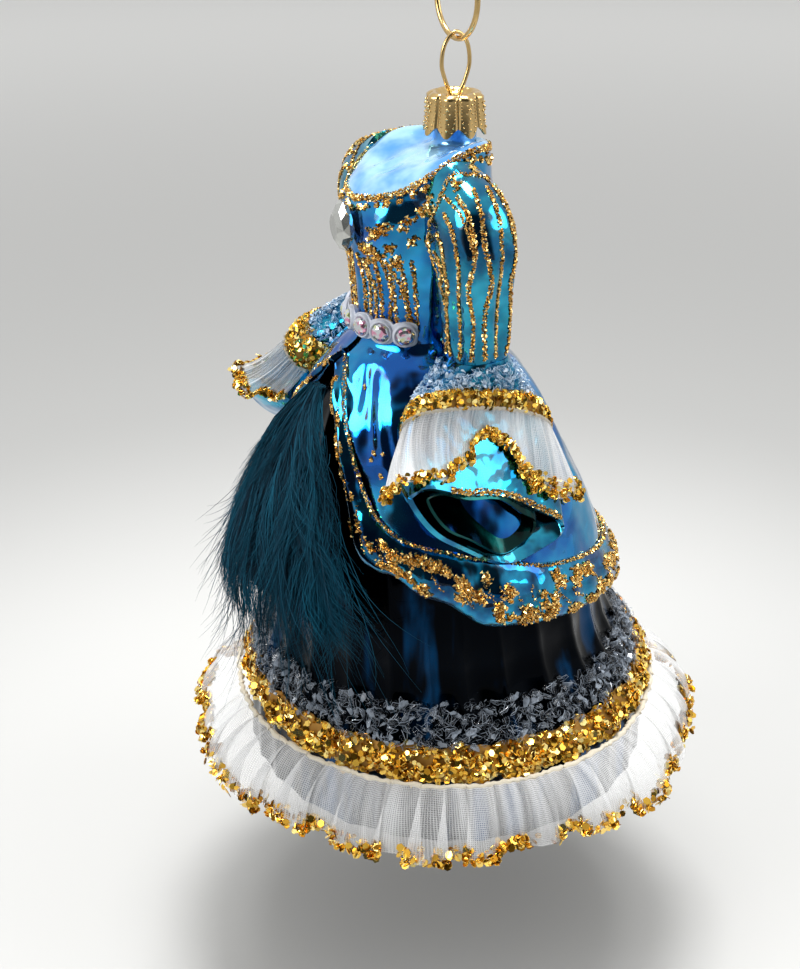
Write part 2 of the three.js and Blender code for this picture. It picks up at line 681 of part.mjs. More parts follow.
// A cut stone lying on the bodice: rings of corners from the back to the table.
function makeStone(angle, height, stand, rings, sides) {
  const origin = bodicePoint(angle, height, stand);
  const outward = bodicePoint(angle, height, stand + 1).sub(origin).normalize();
  const up = new THREE.Vector3(0, 0, 1);
  const across = new THREE.Vector3().crossVectors(up, outward).normalize();
  const points = [];
  const faces = [];
  for (const ring of rings)
    for (let i = 0; i < sides; i++) {
      const a = (i / sides) * tau;
      points.push(
        origin
          .clone()
          .addScaledVector(outward, ring.out)
          .addScaledVector(across, ring.wide * Math.sin(a))
          .addScaledVector(up, ring.tall * Math.cos(a)),
      );
    }
  for (let j = 0; j + 1 < rings.length; j++)
    for (let i = 0; i < sides; i++) {
      const [a, b] = [j * sides + i, j * sides + ((i + 1) % sides)];
      faces.push([a, b, b + sides], [a, b + sides, a + sides]);
    }
  const top = (rings.length - 1) * sides;
  for (let i = 1; i + 1 < sides; i++) faces.push([0, i + 1, i], [top, top + i, top + i + 1]);
  return geometryFrom(points, faces);
}

addPiece("belt_strip", makeBelt(), "milkyResin");
stoneAngles.forEach((angle, i) => {
  const stand = belt.stand + belt.thickness + seamGap;
  addPiece(`belt_stone_${i + 1}`, makeStone(angle, belt.height, stand, stoneRings, 10), "crystal");
});
addPiece("brooch", makeStone(0, brooch.height, brooch.stand, broochRings, 8), "crystal");

// Cap, loop and ring.

function makeCap() {
  const shoulder = capTopHeight - cap.shoulderDrop;
  const at = (inset) => (u, v) => {
    const a = u * tau;
    const petal = Math.cos(cap.petals * a);
    const side = Math.min(v / cap.sideShare, 1);
    const inward = Math.max((v - cap.sideShare) / (1 - cap.sideShare), 0);
    const low = cap.tipHeight + cap.notch * (0.5 - 0.5 * petal);
    const relief = cap.petalRelief * petal * (1 - inward);
    const skirt = cap.radius + cap.flare * (1 - side) ** 1.4 + relief;
    const radius = (skirt - inset) * (1 - inward) + cap.hole * inward;
    const crown = cap.crown * Math.sin(Math.PI * Math.min(inward * 1.5, 1)) - cap.crownDip * inward;
    const height = low + (shoulder - low) * side + crown - inset * side;
    return new THREE.Vector3(radius * Math.sin(a), capCentreY - radius * Math.cos(a), height);
  };
  return skins(at(0), at(capWall), cap.petals * 4, 4, true);
}

// One piece of wire: down in the neck, up through the cap, round the loop and down again.
function makeLoop() {
  const half = loopRows.map((row) => new THREE.Vector3(0, row.y, row.z));
  const path = [
    ...half.map((p) => new THREE.Vector3(0, capCentreY - p.y, p.z)),
    new THREE.Vector3(0, capCentreY, loopTopHeight),
    ...half.reverse().map((p) => new THREE.Vector3(0, capCentreY + p.y, p.z)),
  ];
  return wire(new THREE.CatmullRomCurve3(path, false, "centripetal"), loopWire, 28, 6);
}

// A round wire with flat ends along a curve.
function wire(curve, radius, along, around) {
  const section = new THREE.Shape();
  section.absarc(0, 0, radius, 0, tau, false);
  return new THREE.ExtrudeGeometry(section, {
    steps: along,
    curveSegments: around / 2,
    bevelEnabled: false,
    extrudePath: curve,
  });
}

function makeRing() {
  const torus = new THREE.TorusGeometry(ringRadius, ringWire, 6, 32);
  torus.rotateX(Math.PI / 2);
  torus.translate(0, capCentreY, ringHeight);
  return torus;
}

addPiece("cap", makeCap(), "goldMetal");
addPiece("wire_loop", makeLoop(), "goldMetal");
addPiece("hanging_ring", makeRing(), "goldMetal");

// Plume.

// A point of the plume: u across it, v down it, and how far it stands off the skirt.
function plumePoint(u, v, out) {
  const angle = read(plumeRows, "fall", "angle", v);
  const halfAngle = read(plumeRows, "fall", "halfAngle", v);
  const height = read(plumeRows, "fall", "height", v);
  return skirtPoint(angle + halfAngle * (2 * u - 1), height, plume.stand + borderBulge + out);
}

const plumeDepth = (u, v) =>
  read(plumeRows, "fall", "depth", v) * Math.sqrt(Math.max(1 - (2 * u - 1) ** 2, 0.02));

function makePlume() {
  const at = (out) => (u, v) => {
    const lobe = 1 + plume.lobeDepth * Math.cos(plume.lobes * u * tau + 3 * v);
    const point = plumePoint(u, v, out ? plumeDepth(u, v) * lobe : 0);
    point.z += plume.fringe * v ** 2 * Math.sin(plume.fringeWaves * u * tau);
    return point;
  };
  let solid = toSolid(skins(at(true), at(false), 22, 5, false));
  for (let i = 0; i < plume.locks; i++) {
    const u = 0.04 + (0.92 * (i + 0.5)) / plume.locks;
    const start = lock.start + lock.startSpread * ((i * 0.618) % 1);
    const reach = lock.reach + lock.reachSpread * ((i * 0.382) % 1);
    const lean = (u - 0.5) * 0.5;
    const path = [0, 0.35, 0.7, 1].map((s) => {
      const v = start + reach * s;
      const depth = plumeDepth(u, Math.min(v, 1)) * (0.75 + 0.55 * s);
      const point = plumePoint(u + lean * s ** 1.5, Math.min(v, 1), depth);
      point.z -= Math.max(v - 1, 0) * lock.pastEnd;
      return point;
    });
    solid = solid.add(toSolid(makeLock(new THREE.CatmullRomCurve3(path))));
  }
  return mainBody(solid);
}

// A four-sided strand that narrows to its tip.
function makeLock(curve) {
  const along = 4;
  const frames = curve.computeFrenetFrames(along, false);
  const points = [];
  const faces = [];
  for (let j = 0; j <= along; j++) {
    const radius = lock.radius * (1 - lock.taper * (j / along) ** 1.5);
    const centre = curve.getPointAt(j / along);
    for (let i = 0; i < 4; i++) {
      const a = (i / 4) * tau;
      points.push(
        centre
          .clone()
          .addScaledVector(frames.normals[j], radius * Math.cos(a))
          .addScaledVector(frames.binormals[j], radius * Math.sin(a)),
      );
    }
  }
  for (let j = 0; j < along; j++)
    for (let i = 0; i < 4; i++) {
      const [a, b] = [j * 4 + i, j * 4 + ((i + 1) % 4)];
      faces.push([a, b, b + 4], [a, b + 4, a + 4]);
    }
  const top = along * 4;
  faces.push([0, 2, 1], [0, 3, 2], [top, top + 1, top + 2], [top, top + 2, top + 3]);
  return geometryFrom(points, faces);
}

addPiece("plume", makePlume(), "feather");

gown.updateMatrixWorld(true);

export default gown;
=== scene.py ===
import math
import random

import bpy
import numpy as np
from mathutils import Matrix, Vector


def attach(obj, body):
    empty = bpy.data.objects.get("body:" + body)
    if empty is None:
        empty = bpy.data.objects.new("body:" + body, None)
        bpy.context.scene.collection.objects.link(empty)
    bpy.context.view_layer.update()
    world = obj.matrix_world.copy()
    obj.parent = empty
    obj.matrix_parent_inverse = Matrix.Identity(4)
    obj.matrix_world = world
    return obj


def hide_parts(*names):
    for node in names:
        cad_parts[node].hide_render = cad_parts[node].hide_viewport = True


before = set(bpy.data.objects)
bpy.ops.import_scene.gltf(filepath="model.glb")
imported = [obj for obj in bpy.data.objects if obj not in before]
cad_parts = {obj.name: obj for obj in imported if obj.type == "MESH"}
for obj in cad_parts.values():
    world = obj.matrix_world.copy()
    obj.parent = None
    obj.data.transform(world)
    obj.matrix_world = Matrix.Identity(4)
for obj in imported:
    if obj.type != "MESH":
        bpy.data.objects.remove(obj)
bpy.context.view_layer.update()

mm = 0.001
tau = math.tau
hemLine = -167.25  # height of the hem line below the ring, mm
gownShift = 0.5  # the ring hangs this far behind the middle of the skirt, mm
bellSwing = 6  # the right bell's mouth is this much further forwards, mm
dice = random.Random(11)  # drawn from in the order of this file


# The gown's sections in mm, heights counted up from the hem line and angles from the front.
# The first column is the one a section is looked up by.
def table(columns, *rows):
    return {name: [row[i] for row in rows] for i, name in enumerate(columns.split())}


skirtRows = table(
    "height centre radius",
    (-22, 0, 51.4), (-8, -0.2, 50.8), (0, -0.6, 50.2), (5.5, -1.5, 48.2), (15, -3, 44.9),
    (26, -4, 43.6), (35.5, -5, 41.5), (48.5, -6, 37.2), (61, -7.2, 31.8), (69, -8, 28.7),
    (76, -8.6, 25.4), (80, -9, 22.6), (83, -9.5, 20), (86, -9.9, 17.2), (89, -10.2, 14.6),
)
underRows = table(
    "height inset pleat",
    (-22, 0.3, 1.0), (0, 0.4, 1.4), (10, 1.1, 1.5), (19, 2.5, 1.3), (30, 2.9, 0.9), (86, 2.5, 0.1),
)
bodiceRows = table(
    "height centre halfWidth halfDepth",
    (89, -10.2, 14.2, 13.6), (92, -10, 14, 13.5), (98, -10, 14.4, 13.8), (104, -9.8, 15.2, 14.5),
    (110, -9.6, 16, 15.4), (116, -9.4, 16.3, 16.2), (121, -9, 16.2, 15.7), (126, -8.8, 15.9, 15),
    (131, -8.5, 15.3, 14.2),
)
neckRows = table(
    "angle height",
    (0, 120.4), (40, 122.4), (62, 125.4), (90, 129.4), (118, 130.2), (150, 129.2), (180, 128.6),
)
drapeRows = table(
    "angle edge border",
    (4, 82.5, 85.6), (10, 78.5, 83.6), (16, 74.5, 80.6), (21, 70, 77), (26, 63.5, 72.5),
    (31, 56, 67.5), (36, 47.5, 62), (43, 44.6, 56), (50, 43.6, 52.8), (57, 40.2, 51.2),
    (66, 38.2, 50), (76, 33, 48.4), (86, 31.4, 46.6), (98, 30, 43.6), (118, 28, 40.2),
    (146, 24, 36), (180, 21.5, 33.6),
)
sleeveRows = table(
    "step turn armpitX armpitZ halfAcross centreY halfDepth",
    (0, 0, 16.6, 105.5, 12, -8.4, 7.6), (1, 24, 16.7, 105.4, 11.2, -8.4, 7.9),
    (2, 50, 16.8, 105.3, 9, -8.4, 7.8), (3, 74, 16.6, 105.2, 7.4, -8.2, 7.5),
    (4, 90, 16.4, 103.5, 6.6, -7.9, 7.2), (5, 90, 16.2, 97, 6.2, -7.3, 6.8),
    (6, 90, 16.2, 89.3, 5.9, -6.9, 6.6),
)
bellRows = table(
    "step x y z halfDepth halfAcross tilt nod",
    (0, 22.3, -6.9, 89, 6.6, 5.9, 0, 0), (1, 23.4, -8.4, 81.1, 12.6, 6.2, 31, 10),
    (2, 25.9, -8.4, 75.1, 17, 6.8, 59, 14), (3, 28.9, -10, 68.6, 19, 7.6, 71, 12),
    (4, 33.8, -11.6, 61.2, 19.9, 8.6, 82, 15), (5, 38.8, -12.8, 55.6, 19.9, 8.1, 93, 23),
)
cuffFallRows = table(
    "angle to reach",
    (-132, 3, 3), (-105, 4, 3.2), (-90, 4.4, 2.6), (-75, 4.7, 1.9), (-60, 4.8, 1.4), (-45, 4.8, 1.1),
    (-28, 4.7, 0.9), (-18, 4.5, 0.8), (-12, 4.1, 0.7), (-6, 3.6, 0.7), (0, 3.25, 0.7), (8, 3.45, 0.8),
    (14, 3.8, 1), (22, 4.3, 1.6), (32, 4.7, 2.2), (46, 4.8, 3), (60, 4.7, 3.5), (75, 4.4, 4.5),
    (88, 4.1, 6), (105, 3.8, 6), (132, 3, 3.4),
)
ruffleRows = table(
    "fall height radius wave",
    (0, -3.9, 52.6, 0.2), (0.12, -4.2, 55, 0.5), (0.4, -7, 59, 1.2), (0.7, -10.8, 62, 1.9),
    (1, -15.4, 63.8, 2.5),
)
plumeRows = table(
    "fall height angle halfAngle depth",
    (0, 80, 4, 5, 2.4), (0.14, 71, 5, 17, 6.5), (0.35, 57, 8, 26, 9.5), (0.6, 41, 12, 31, 10),
    (0.8, 31, 14, 31, 8.5), (1, 22, 15, 27, 5),
)


def read(rows, column, at):
    xs, ys = next(iter(rows.values())), rows[column]
    last = len(xs) - 1
    if at <= xs[0]:
        return ys[0]
    if at >= xs[last]:
        return ys[last]
    i = 0
    while at > xs[i + 1]:
        i += 1
    before, after = max(i - 1, 0), min(i + 2, last)
    span = xs[i + 1] - xs[i]
    s = (at - xs[i]) / span
    leaving = (ys[i + 1] - ys[before]) / (xs[i + 1] - xs[before]) * span
    arriving = (ys[after] - ys[i]) / (xs[after] - xs[i]) * span
    smooth = (2 * s ** 3 - 3 * s ** 2 + 1) * ys[i] + (s ** 3 - 2 * s ** 2 + s) * leaving
    return smooth + (3 * s ** 2 - 2 * s ** 3) * ys[i + 1] + (s ** 3 - s ** 2) * arriving


def step(low, high, value):
    t = min(max((value - low) / (high - low), 0), 1)
    return t * t * (3 - 2 * t)


def fromFront(angle):
    return abs((angle + 180) % 360 - 180)


def place(x, y, z):
    return Vector((x * mm, (y + gownShift) * mm, (z + hemLine) * mm))


# Surfaces of the gown: two parameters and how far out, all giving a point in mm.
def skirtPoint(angle, height, out=0):
    centre = read(skirtRows, "centre", height)
    radius = read(skirtRows, "radius", height) + out
    a = math.radians(angle)
    return radius * math.sin(a), centre - radius * math.cos(a), height


def underPoint(angle, height, out=0):
    pleat = read(underRows, "pleat", height)
    wander = angle + 2.2 * math.sin(math.radians(5 * angle + 40))
    fold = 0.35 - abs(math.cos(math.radians(14 * wander))) ** 0.7
    sag = 0.25 * math.sin(math.radians(3 * angle) + height * 0.11)
    inset = read(underRows, "inset", height)
    return skirtPoint(angle, height, out - inset + pleat * fold + sag * step(20, 5, height))


def drapeFold(angle, height):
    side = fromFront(angle)
    low = read(drapeRows, "border", side)
    along = min(max((86 - height) / max(86 - low, 1), 0), 1)
    soft = math.sin(math.radians(8 * side + 30) + 1.5 * along)
    soft += 0.5 * math.sin(math.radians(17 * side) + 5 * along)
    dent = math.exp(-((side - 38) / 7) ** 2 - ((height - 66) / 13) ** 2)
    ridge = 0.22 * math.sin(math.radians(29 * side) + 1.6 * math.sin(height * 0.31 + side * 0.2))
    return (0.75 * soft + ridge) * math.sin(math.pi * along) ** 0.8 - 1.2 * dent * step(0, 0.5, along)


def drapePoint(angle, height, out=0):
    loose = skirtPoint(angle, height, out + drapeFold(angle, height))
    tight = bodicePoint(angle, max(height, 89), out + 0.06)
    seat = step(85.5, 89.4, height)
    return (*(a + (b - a) * seat for a, b in zip(loose[:2], tight[:2])), height)


def borderPoint(angle, down, out=0):
    side = fromFront(angle)
    high = read(drapeRows, "border", side)
    low = read(drapeRows, "edge", side)
    gather = 0.32 * math.sin(math.radians(31 * side + 60 * math.sin(side * 0.11))) * math.sin(math.pi * down)
    roll = 2.1 * math.sin(math.pi * min(max(down, 0), 1)) ** 0.62
    lip = 0.5 * math.exp(-((down - 0.08) / 0.06) ** 2)
    return skirtPoint(angle, high + (low - high) * down, out + roll + gather + lip)


def bodicePoint(angle, height, out=0):
    side = fromFront(angle)
    bust = 1.3 * math.exp(-((side - 28) / 20) ** 2) * math.exp(-((height - 115) / 5) ** 2)
    bone = 0.3 * math.cos(math.radians(15 * side)) * step(112, 106, height) * step(89, 93, height)
    push = out + bust + bone
    centre = read(bodiceRows, "centre", height)
    width = read(bodiceRows, "halfWidth", height) + push
    depth = read(bodiceRows, "halfDepth", height) + push
    a = math.radians(angle)
    return width * math.sin(a), centre - depth * math.cos(a), height


def bodiceSide(y, z):
    along = (y - read(bodiceRows, "centre", z)) / read(bodiceRows, "halfDepth", z)
    return read(bodiceRows, "halfWidth", z) * math.sqrt(max(1 - along ** 2, 0))


def softOval(angle, power):
    c, s = math.cos(angle), math.sin(angle)
    swell = (abs(c) ** power + abs(s) ** power) ** (-1 / power)
    return c * swell, s * swell


def sleevePoint(sign, around, down, out=0):
    at = down * 6
    turn = math.radians(min(read(sleeveRows, "turn", at), 90))
    across, along = softOval(around * tau, 2.5)
    flute = 0.5 * math.cos(9 * around * tau + 0.4) * step(0.25, 0.5, down) * step(1, 0.9, down)
    out += flute
    half = read(sleeveRows, "halfAcross", at)
    reach = half + (half + out) * across
    y = read(sleeveRows, "centreY", at) + (read(sleeveRows, "halfDepth", at) + out) * along
    z = read(sleeveRows, "armpitZ", at) + math.cos(turn) * reach
    free = read(sleeveRows, "armpitX", at) + math.sin(turn) * reach
    seat = max(1 - at / 1.6, 0) ** 2
    x = free + (bodiceSide(y, z) + 0.35 + out * 0.5 - free) * seat
    return sign * x, y, z - 0.5 * step(0.93, 1, down)


def bellPoint(sign, around, down, out=0):
    at = down * 5
    tilt = math.radians(read(bellRows, "tilt", at))
    across, along = softOval(around * tau, 2.5 - 0.85 * down ** 2)
    wave = 0.7 * down ** 3 * math.sin(5 * around * tau)
    bow = 3.6 * down ** 3 * along ** 2
    up = (read(bellRows, "halfAcross", at) + out + wave) * across
    forward = (read(bellRows, "halfDepth", at) + out) * along
    nod = math.tan(math.radians(read(bellRows, "nod", at)))
    y = read(bellRows, "y", at) + forward - (bellSwing * down if sign < 0 else 0)
    return (
        sign * (read(bellRows, "x", at) + math.cos(tilt) * up),
        y,
        read(bellRows, "z", at) + math.sin(tilt) * up - nod * forward + bow,
    )


# Camera first: a long lens from the gown's left front, looking down on it.
view = {"azimuth": 62, "distance": 305, "height": 203, "down": 27.3, "aside": 12.2, "lens": 52.2}


def addCamera():
    a = math.radians(view["azimuth"])
    towards = Vector((math.sin(a), -math.cos(a), 0))
    right = Vector((math.cos(a), math.sin(a), 0))
    spot = towards * view["distance"] - right * view["aside"] + Vector((0, 0, view["height"]))
    pitch = math.radians(view["down"])
    look = -towards * math.cos(pitch) - Vector((0, 0, math.sin(pitch)))
    data = bpy.data.cameras.new("camera")
    data.lens, data.sensor_width, data.clip_start = view["lens"], 36, 0.01
    camera = bpy.data.objects.new("camera", data)
    bpy.context.scene.collection.objects.link(camera)
    camera.location = place(*spot)
    camera.rotation_euler = look.to_track_quat("-Z", "Y").to_euler()
    bpy.context.scene.camera = camera
    bpy.context.scene.view_settings.view_transform = "Standard"
    return towards


towards = addCamera()


# Mesh helpers.
def deselect():
    if bpy.context.mode != "OBJECT":
        bpy.ops.object.mode_set(mode="OBJECT")
    bpy.ops.object.select_all(action="DESELECT")


def pick(piece):
    deselect()
    piece.select_set(True)
    bpy.context.view_layer.objects.active = piece


def bakeModifiers(piece):
    pick(piece)
    for modifier in list(piece.modifiers):
        bpy.ops.object.modifier_apply(modifier=modifier.name)


def smooth(piece, degrees):
    pick(piece)
    bpy.ops.object.shade_smooth_by_angle(angle=math.radians(degrees))


# A grid laid over a surface: across is u, down is v, both 0 to 1; uvSize is in mm.
def skinPiece(name, surface, across, down, thickness, around=False, uvSize=(1, 1)):
    deselect()
    bpy.ops.mesh.primitive_grid_add(x_subdivisions=across, y_subdivisions=down, size=1)
    piece = bpy.context.active_object
    piece.name = piece.data.name = name
    mesh = piece.data
    for vertex in mesh.vertices:
        vertex.co = place(*surface(vertex.co.x + 0.5, 0.5 - vertex.co.y, 0))
    for loop in mesh.uv_layers.active.data:
        loop.uv = (loop.uv[0] * uvSize[0], (1 - loop.uv[1]) * uvSize[1])
    mesh.update()
    middle = place(*surface(0.31, 0.5, 0))
    outward = place(*surface(0.31, 0.5, 1)) - middle
    nearest = min(mesh.polygons, key=lambda face: (face.center - middle).length)
    bpy.ops.object.mode_set(mode="EDIT")
    bpy.ops.mesh.select_all(action="SELECT")
    if around:
        bpy.ops.mesh.remove_doubles(threshold=2e-6)
    if nearest.normal.dot(outward) < 0:
        bpy.ops.mesh.flip_normals()
    bpy.ops.object.mode_set(mode="OBJECT")
    if thickness:
        wall = piece.modifiers.new("wall", "SOLIDIFY")
        wall.thickness, wall.offset = thickness * mm, -1
        bakeModifiers(piece)
    smooth(piece, 50)
    return piece


def frameOn(surface, u, v, out):
    nudge = 0.002
    at = place(*surface(u, v, out))
    alongU = place(*surface(u + nudge, v, out)) - at
    outward = place(*surface(u, v, out + 0.5)) - at
    alongV = place(*surface(u, v + nudge, out)) - at
    normal = alongU.cross(alongV)
    if normal.length < 1e-12:
        normal = outward
    if normal.dot(outward) < 0:
        normal.negate()
    normal.normalize()
    across = alongU - normal * alongU.dot(normal)
    return at, normal, across.normalized()


def tonedPiece(name, points, faces, tones):
    mesh = bpy.data.meshes.new(name)
    mesh.from_pydata(points, [], faces)
    mesh.attributes.new("tone", "FLOAT", "FACE").data.foreach_set("value", tones)
    piece = bpy.data.objects.new(name, mesh)
    bpy.context.scene.collection.objects.link(piece)
    return piece


# Many copies of one small shape as one mesh, each with its own size, turn and tone. A shape may set a lowest
# tone for some of its faces, which paints them as glints.
def scatterPiece(name, shape, spots):
    corners, faces, *rimGlints = shape
    corners = np.array(corners, float)
    count = len(corners)
    points = np.empty((len(spots) * count, 3))
    allFaces = []
    tones = []
    for i, (at, normal, across, size, tone) in enumerate(spots):
        up = normal.cross(across)
        axes = np.array([across, up, normal]) * (size * mm)
        points[i * count:(i + 1) * count] = corners @ axes + np.array(at)
        allFaces += [tuple(i * count + k for k in face) for face in faces]
        tones += [max(tone, rimGlint) for rimGlint in rimGlints[0]] if rimGlints else [tone] * len(faces)
    return tonedPiece(name, points.tolist(), allFaces, tones)


def discShape(sides, thickness):
    ring = [(math.cos(i / sides * tau), math.sin(i / sides * tau)) for i in range(sides)]
    corners = [(x, y, -thickness) for x, y in ring] + [(x, y, thickness) for x, y in ring]
    faces = [tuple(reversed(range(sides))), tuple(range(sides, 2 * sides))]
    faces += [(i, (i + 1) % sides, sides + (i + 1) % sides, sides + i) for i in range(sides)]
    return corners, faces


def grainShape():
    corners = [(1.1, 0, -0.4), (-0.6, 1, -0.4), (-0.6, -0.9, -0.4), (0.1, 0.1, 0.9)]
    return corners, [(0, 2, 1), (0, 1, 3), (1, 2, 3), (2, 0, 3)]


# The six side faces get a tone of at least 0.95: a painted highlight along each shard's edge.
def shardShape():
    outline = [(-1, -0.4, 0.1), (-0.1, -0.6, 0.34), (1, -0.2, 0), (0.8, 0.45, 0.05), (-0.2, 0.55, 0.36),
               (-0.9, 0.2, 0.12)]
    corners = [(x, y, z - 0.07) for x, y, z in outline] + [(x, y, z + 0.07) for x, y, z in outline]
    faces = [(5, 4, 1, 0), (4, 3, 2, 1), (6, 7, 10, 11), (7, 8, 9, 10)]
    faces += [(i, (i + 1) % 6, 6 + (i + 1) % 6, 6 + i) for i in range(6)]
    return corners, faces, [0] * 4 + [0.95] * 6


def beadShape():
    deselect()
    bpy.ops.mesh.primitive_ico_sphere_add(subdivisions=1, radius=1)
    ball = bpy.context.active_object
    corners = [tuple(v.co) for v in ball.data.vertices]
    faces = [tuple(f.vertices) for f in ball.data.polygons]
    bpy.data.objects.remove(ball)
    return corners, faces


# A small shape laid at a spot, leaning and spun at random.
def looseSpot(at, normal, across, tilt, size):
    side = normal.cross(across)
    lean = (normal + across * dice.uniform(-tilt, tilt) + side * dice.uniform(-tilt, tilt)).normalized()
    spin = dice.uniform(0, tau)
    flat = across * math.cos(spin) + side * math.sin(spin)
    flat = (flat - lean * flat.dot(lean)).normalized()
    return at, lean, flat, dice.uniform(*size), dice.random()


def curvePath(points, steps=8):
    path = []
    for i in range(len(points) - 1):
        before, a = points[max(i - 1, 0)], points[i]
        b, after = points[i + 1], points[min(i + 2, len(points) - 1)]
        for k in range(steps):
            s = k / steps
            path.append(tuple(
                0.5 * (2 * a[n] + (b[n] - before[n]) * s
                       + (2 * before[n] - 5 * a[n] + 4 * b[n] - after[n]) * s ** 2
                       + (3 * a[n] - before[n] - 3 * b[n] + after[n]) * s ** 3)
                for n in (0, 1)))
    return path + [tuple(points[-1])]


# Finishes.
def newFinish(name, **sockets):
    finish = bpy.data.materials.new(name)
    finish.use_nodes = True
    tree = finish.node_tree
    shader = tree.nodes["Principled BSDF"]
    for socket, value in sockets.items():
        shader.inputs[socket.replace("_", " ")].default_value = value
    return finish, tree, shader


# A node with its settings and plain input values; feeds are the outputs that run into it.
def addNode(tree, kind, feeds=None, **values):
    node = tree.nodes.new(kind)
    for key, value in values.items():
        if hasattr(node, key):
            setattr(node, key, value)
        else:
            node.inputs[key.replace("_", " ")].default_value = value
    for socket, source in (feeds or {}).items():
        tree.links.new(source, node.inputs[socket])
    return node


def mixColours(tree, factor, first, second):
    mix = addNode(tree, "ShaderNodeMix", {0: factor}, data_type="RGBA")
    for socket, colour in ((mix.inputs[6], first), (mix.inputs[7], second)):
        if hasattr(colour, "is_output"):
            tree.links.new(colour, socket)
        else:
            socket.default_value = (*colour, 1)
    return mix.outputs[2]


def paint(tree, shader, factor, first, second):
    tree.links.new(mixColours(tree, factor, first, second), shader.inputs["Base Color"])


def addRange(tree, factor, **limits):
    return addNode(tree, "ShaderNodeMapRange", {"Value": factor}, **limits).outputs["Result"]


def ramp(tree, factor, low, high):
    return addRange(tree, factor, interpolation_type="SMOOTHSTEP", From_Min=low, From_Max=high)


def objectSpace(tree):
    return addNode(tree, "ShaderNodeTexCoord").outputs["Object"]


def toneOf(tree):
    return addNode(tree, "ShaderNodeAttribute", attribute_name="tone").outputs["Fac"]


def addNoise(tree, where, **values):
    return addNode(tree, "ShaderNodeTexNoise", {"Vector": where}, **values).outputs["Fac"]


def stretched(tree, where, scale):
    return addNode(tree, "ShaderNodeMapping", {"Vector": where}, Scale=scale).outputs["Vector"]


def addBump(tree, shader, height, strength, distance):
    bump = addNode(tree, "ShaderNodeBump", {"Height": height}, Strength=strength, Distance=distance * mm)
    tree.links.new(bump.outputs["Normal"], shader.inputs["Normal"])


# Silvered glass under a clear coloured lacquer, thicker in some places than in others. Where drawn stretches
# that tone into vertical streaks, the streaks are painted reflections of light bands.
def lacquerFinish(name, bright, deep, cloud, dents, roughness, coat=0.35, drawn=1.0, edge=(0.36, 0.66),
                  silver=1.0):
    finish, tree, shader = newFinish(
        name, Metallic=silver, Roughness=roughness, Coat_Weight=coat, Coat_Roughness=0.04, Coat_IOR=1.5)
    where = objectSpace(tree)
    streaks = stretched(tree, where, (1, 1, drawn))
    clouds = addNoise(tree, streaks, Scale=1000 / cloud, Detail=3.0, Roughness=0.5)
    paint(tree, shader, ramp(tree, clouds, *edge), deep, bright)
    addBump(tree, shader, addNoise(tree, where, Scale=1000 / dents, Detail=1.0), 0.6, 1.1)
    return finish


# Each sequin's tone is random; its dark end is a painted shadow brown and its bright end a painted highlight
# gold.
def shadedSequinFinish():
    finish, tree, shader = newFinish("goldSequins", Metallic=1.0, Roughness=0.22)
    tone = toneOf(tree)
    low = mixColours(tree, ramp(tree, tone, 0, 0.5), (0.4, 0.18, 0.012), (0.9, 0.55, 0.08))
    paint(tree, shader, ramp(tree, tone, 0.5, 1), low, (1, 0.82, 0.32))
    return finish


def toneFinish(name, dark, light, **sockets):
    finish, tree, shader = newFinish(name, **sockets)
    paint(tree, shader, toneOf(tree), dark, light)
    return finish


def glintShardFinish(name, dark, light, thin, thick):
    finish, tree, shader = newFinish(name, Roughness=0.06, IOR=1.5, Specular_IOR_Level=0.8)
    # Tones above 0.7 paint a shard light and more opaque as a painted glint: always on the rims, and on a
    # random share of whole shards.
    bright = ramp(tree, toneOf(tree), 0.7, 1)
    paint(tree, shader, bright, dark, light)
    tree.links.new(addRange(tree, bright, To_Min=thin, To_Max=thick), shader.inputs["Alpha"])
    return finish


# Sheer woven silk: two sets of threads on the piece's own UV, which is in mm.
def organzaFinish(name, thin, thick):
    finish, tree, shader = newFinish(
        name, Roughness=0.6, Sheen_Weight=0.2, Sheen_Roughness=0.4, Specular_IOR_Level=0.25)
    weave = addNode(tree, "ShaderNodeUVMap", uv_map="UVMap").outputs["UV"]
    parts = addNode(tree, "ShaderNodeSeparateXYZ", {"Vector": weave})
    threads = {}
    for n, (axis, pitch) in enumerate((("X", 0.33), ("Y", 0.37))):
        turn = addNode(tree, "ShaderNodeMath", {0: parts.outputs[axis]}, operation="MULTIPLY")
        turn.inputs[1].default_value = tau / pitch
        wave = addNode(tree, "ShaderNodeMath", {0: turn.outputs[0]}, operation="SINE")
        threads[n] = ramp(tree, wave.outputs[0], -0.6, 0.9)
    cloth = addNode(tree, "ShaderNodeMath", threads, operation="MAXIMUM").outputs[0]
    slubs = addNoise(tree, stretched(tree, weave, (0.24, 0.02, 1)), Scale=1.0, Detail=5.0, Roughness=0.62)
    both = addNode(tree, "ShaderNodeMath", {0: cloth, 2: slubs}, operation="MULTIPLY_ADD")
    both.inputs[1].default_value = 0.34
    cover = addRange(tree, both.outputs[0], From_Min=0.46, From_Max=0.98, To_Min=thin, To_Max=thick)
    tree.links.new(cover, shader.inputs["Alpha"])
    paint(tree, shader, slubs, (0.7, 0.7, 0.69), (0.9, 0.91, 0.92))
    addBump(tree, shader, cloth, 0.2, 0.04)
    return finish


def stoneFinish():
    finish, tree, shader = newFinish("foiledStone", Metallic=0.85, Roughness=0.05, Coat_Weight=1.0)
    play = addNoise(tree, objectSpace(tree), Scale=700, Detail=1.0)
    warm = mixColours(tree, ramp(tree, play, 0.5, 0.62), (0.7, 0.74, 0.78), (0.8, 0.34, 0.5))
    paint(tree, shader, ramp(tree, play, 0.46, 0.36), warm, (0.72, 0.78, 0.42))
    return finish


def plainFinish(name, colour, grain, bump, **sockets):
    finish, tree, shader = newFinish(name, **sockets)
    noise = addNoise(tree, objectSpace(tree), Scale=1000 / grain, Detail=4.0)
    paint(tree, shader, noise, tuple(0.78 * c for c in colour), colour)
    addBump(tree, shader, noise, bump, 0.1)
    return finish


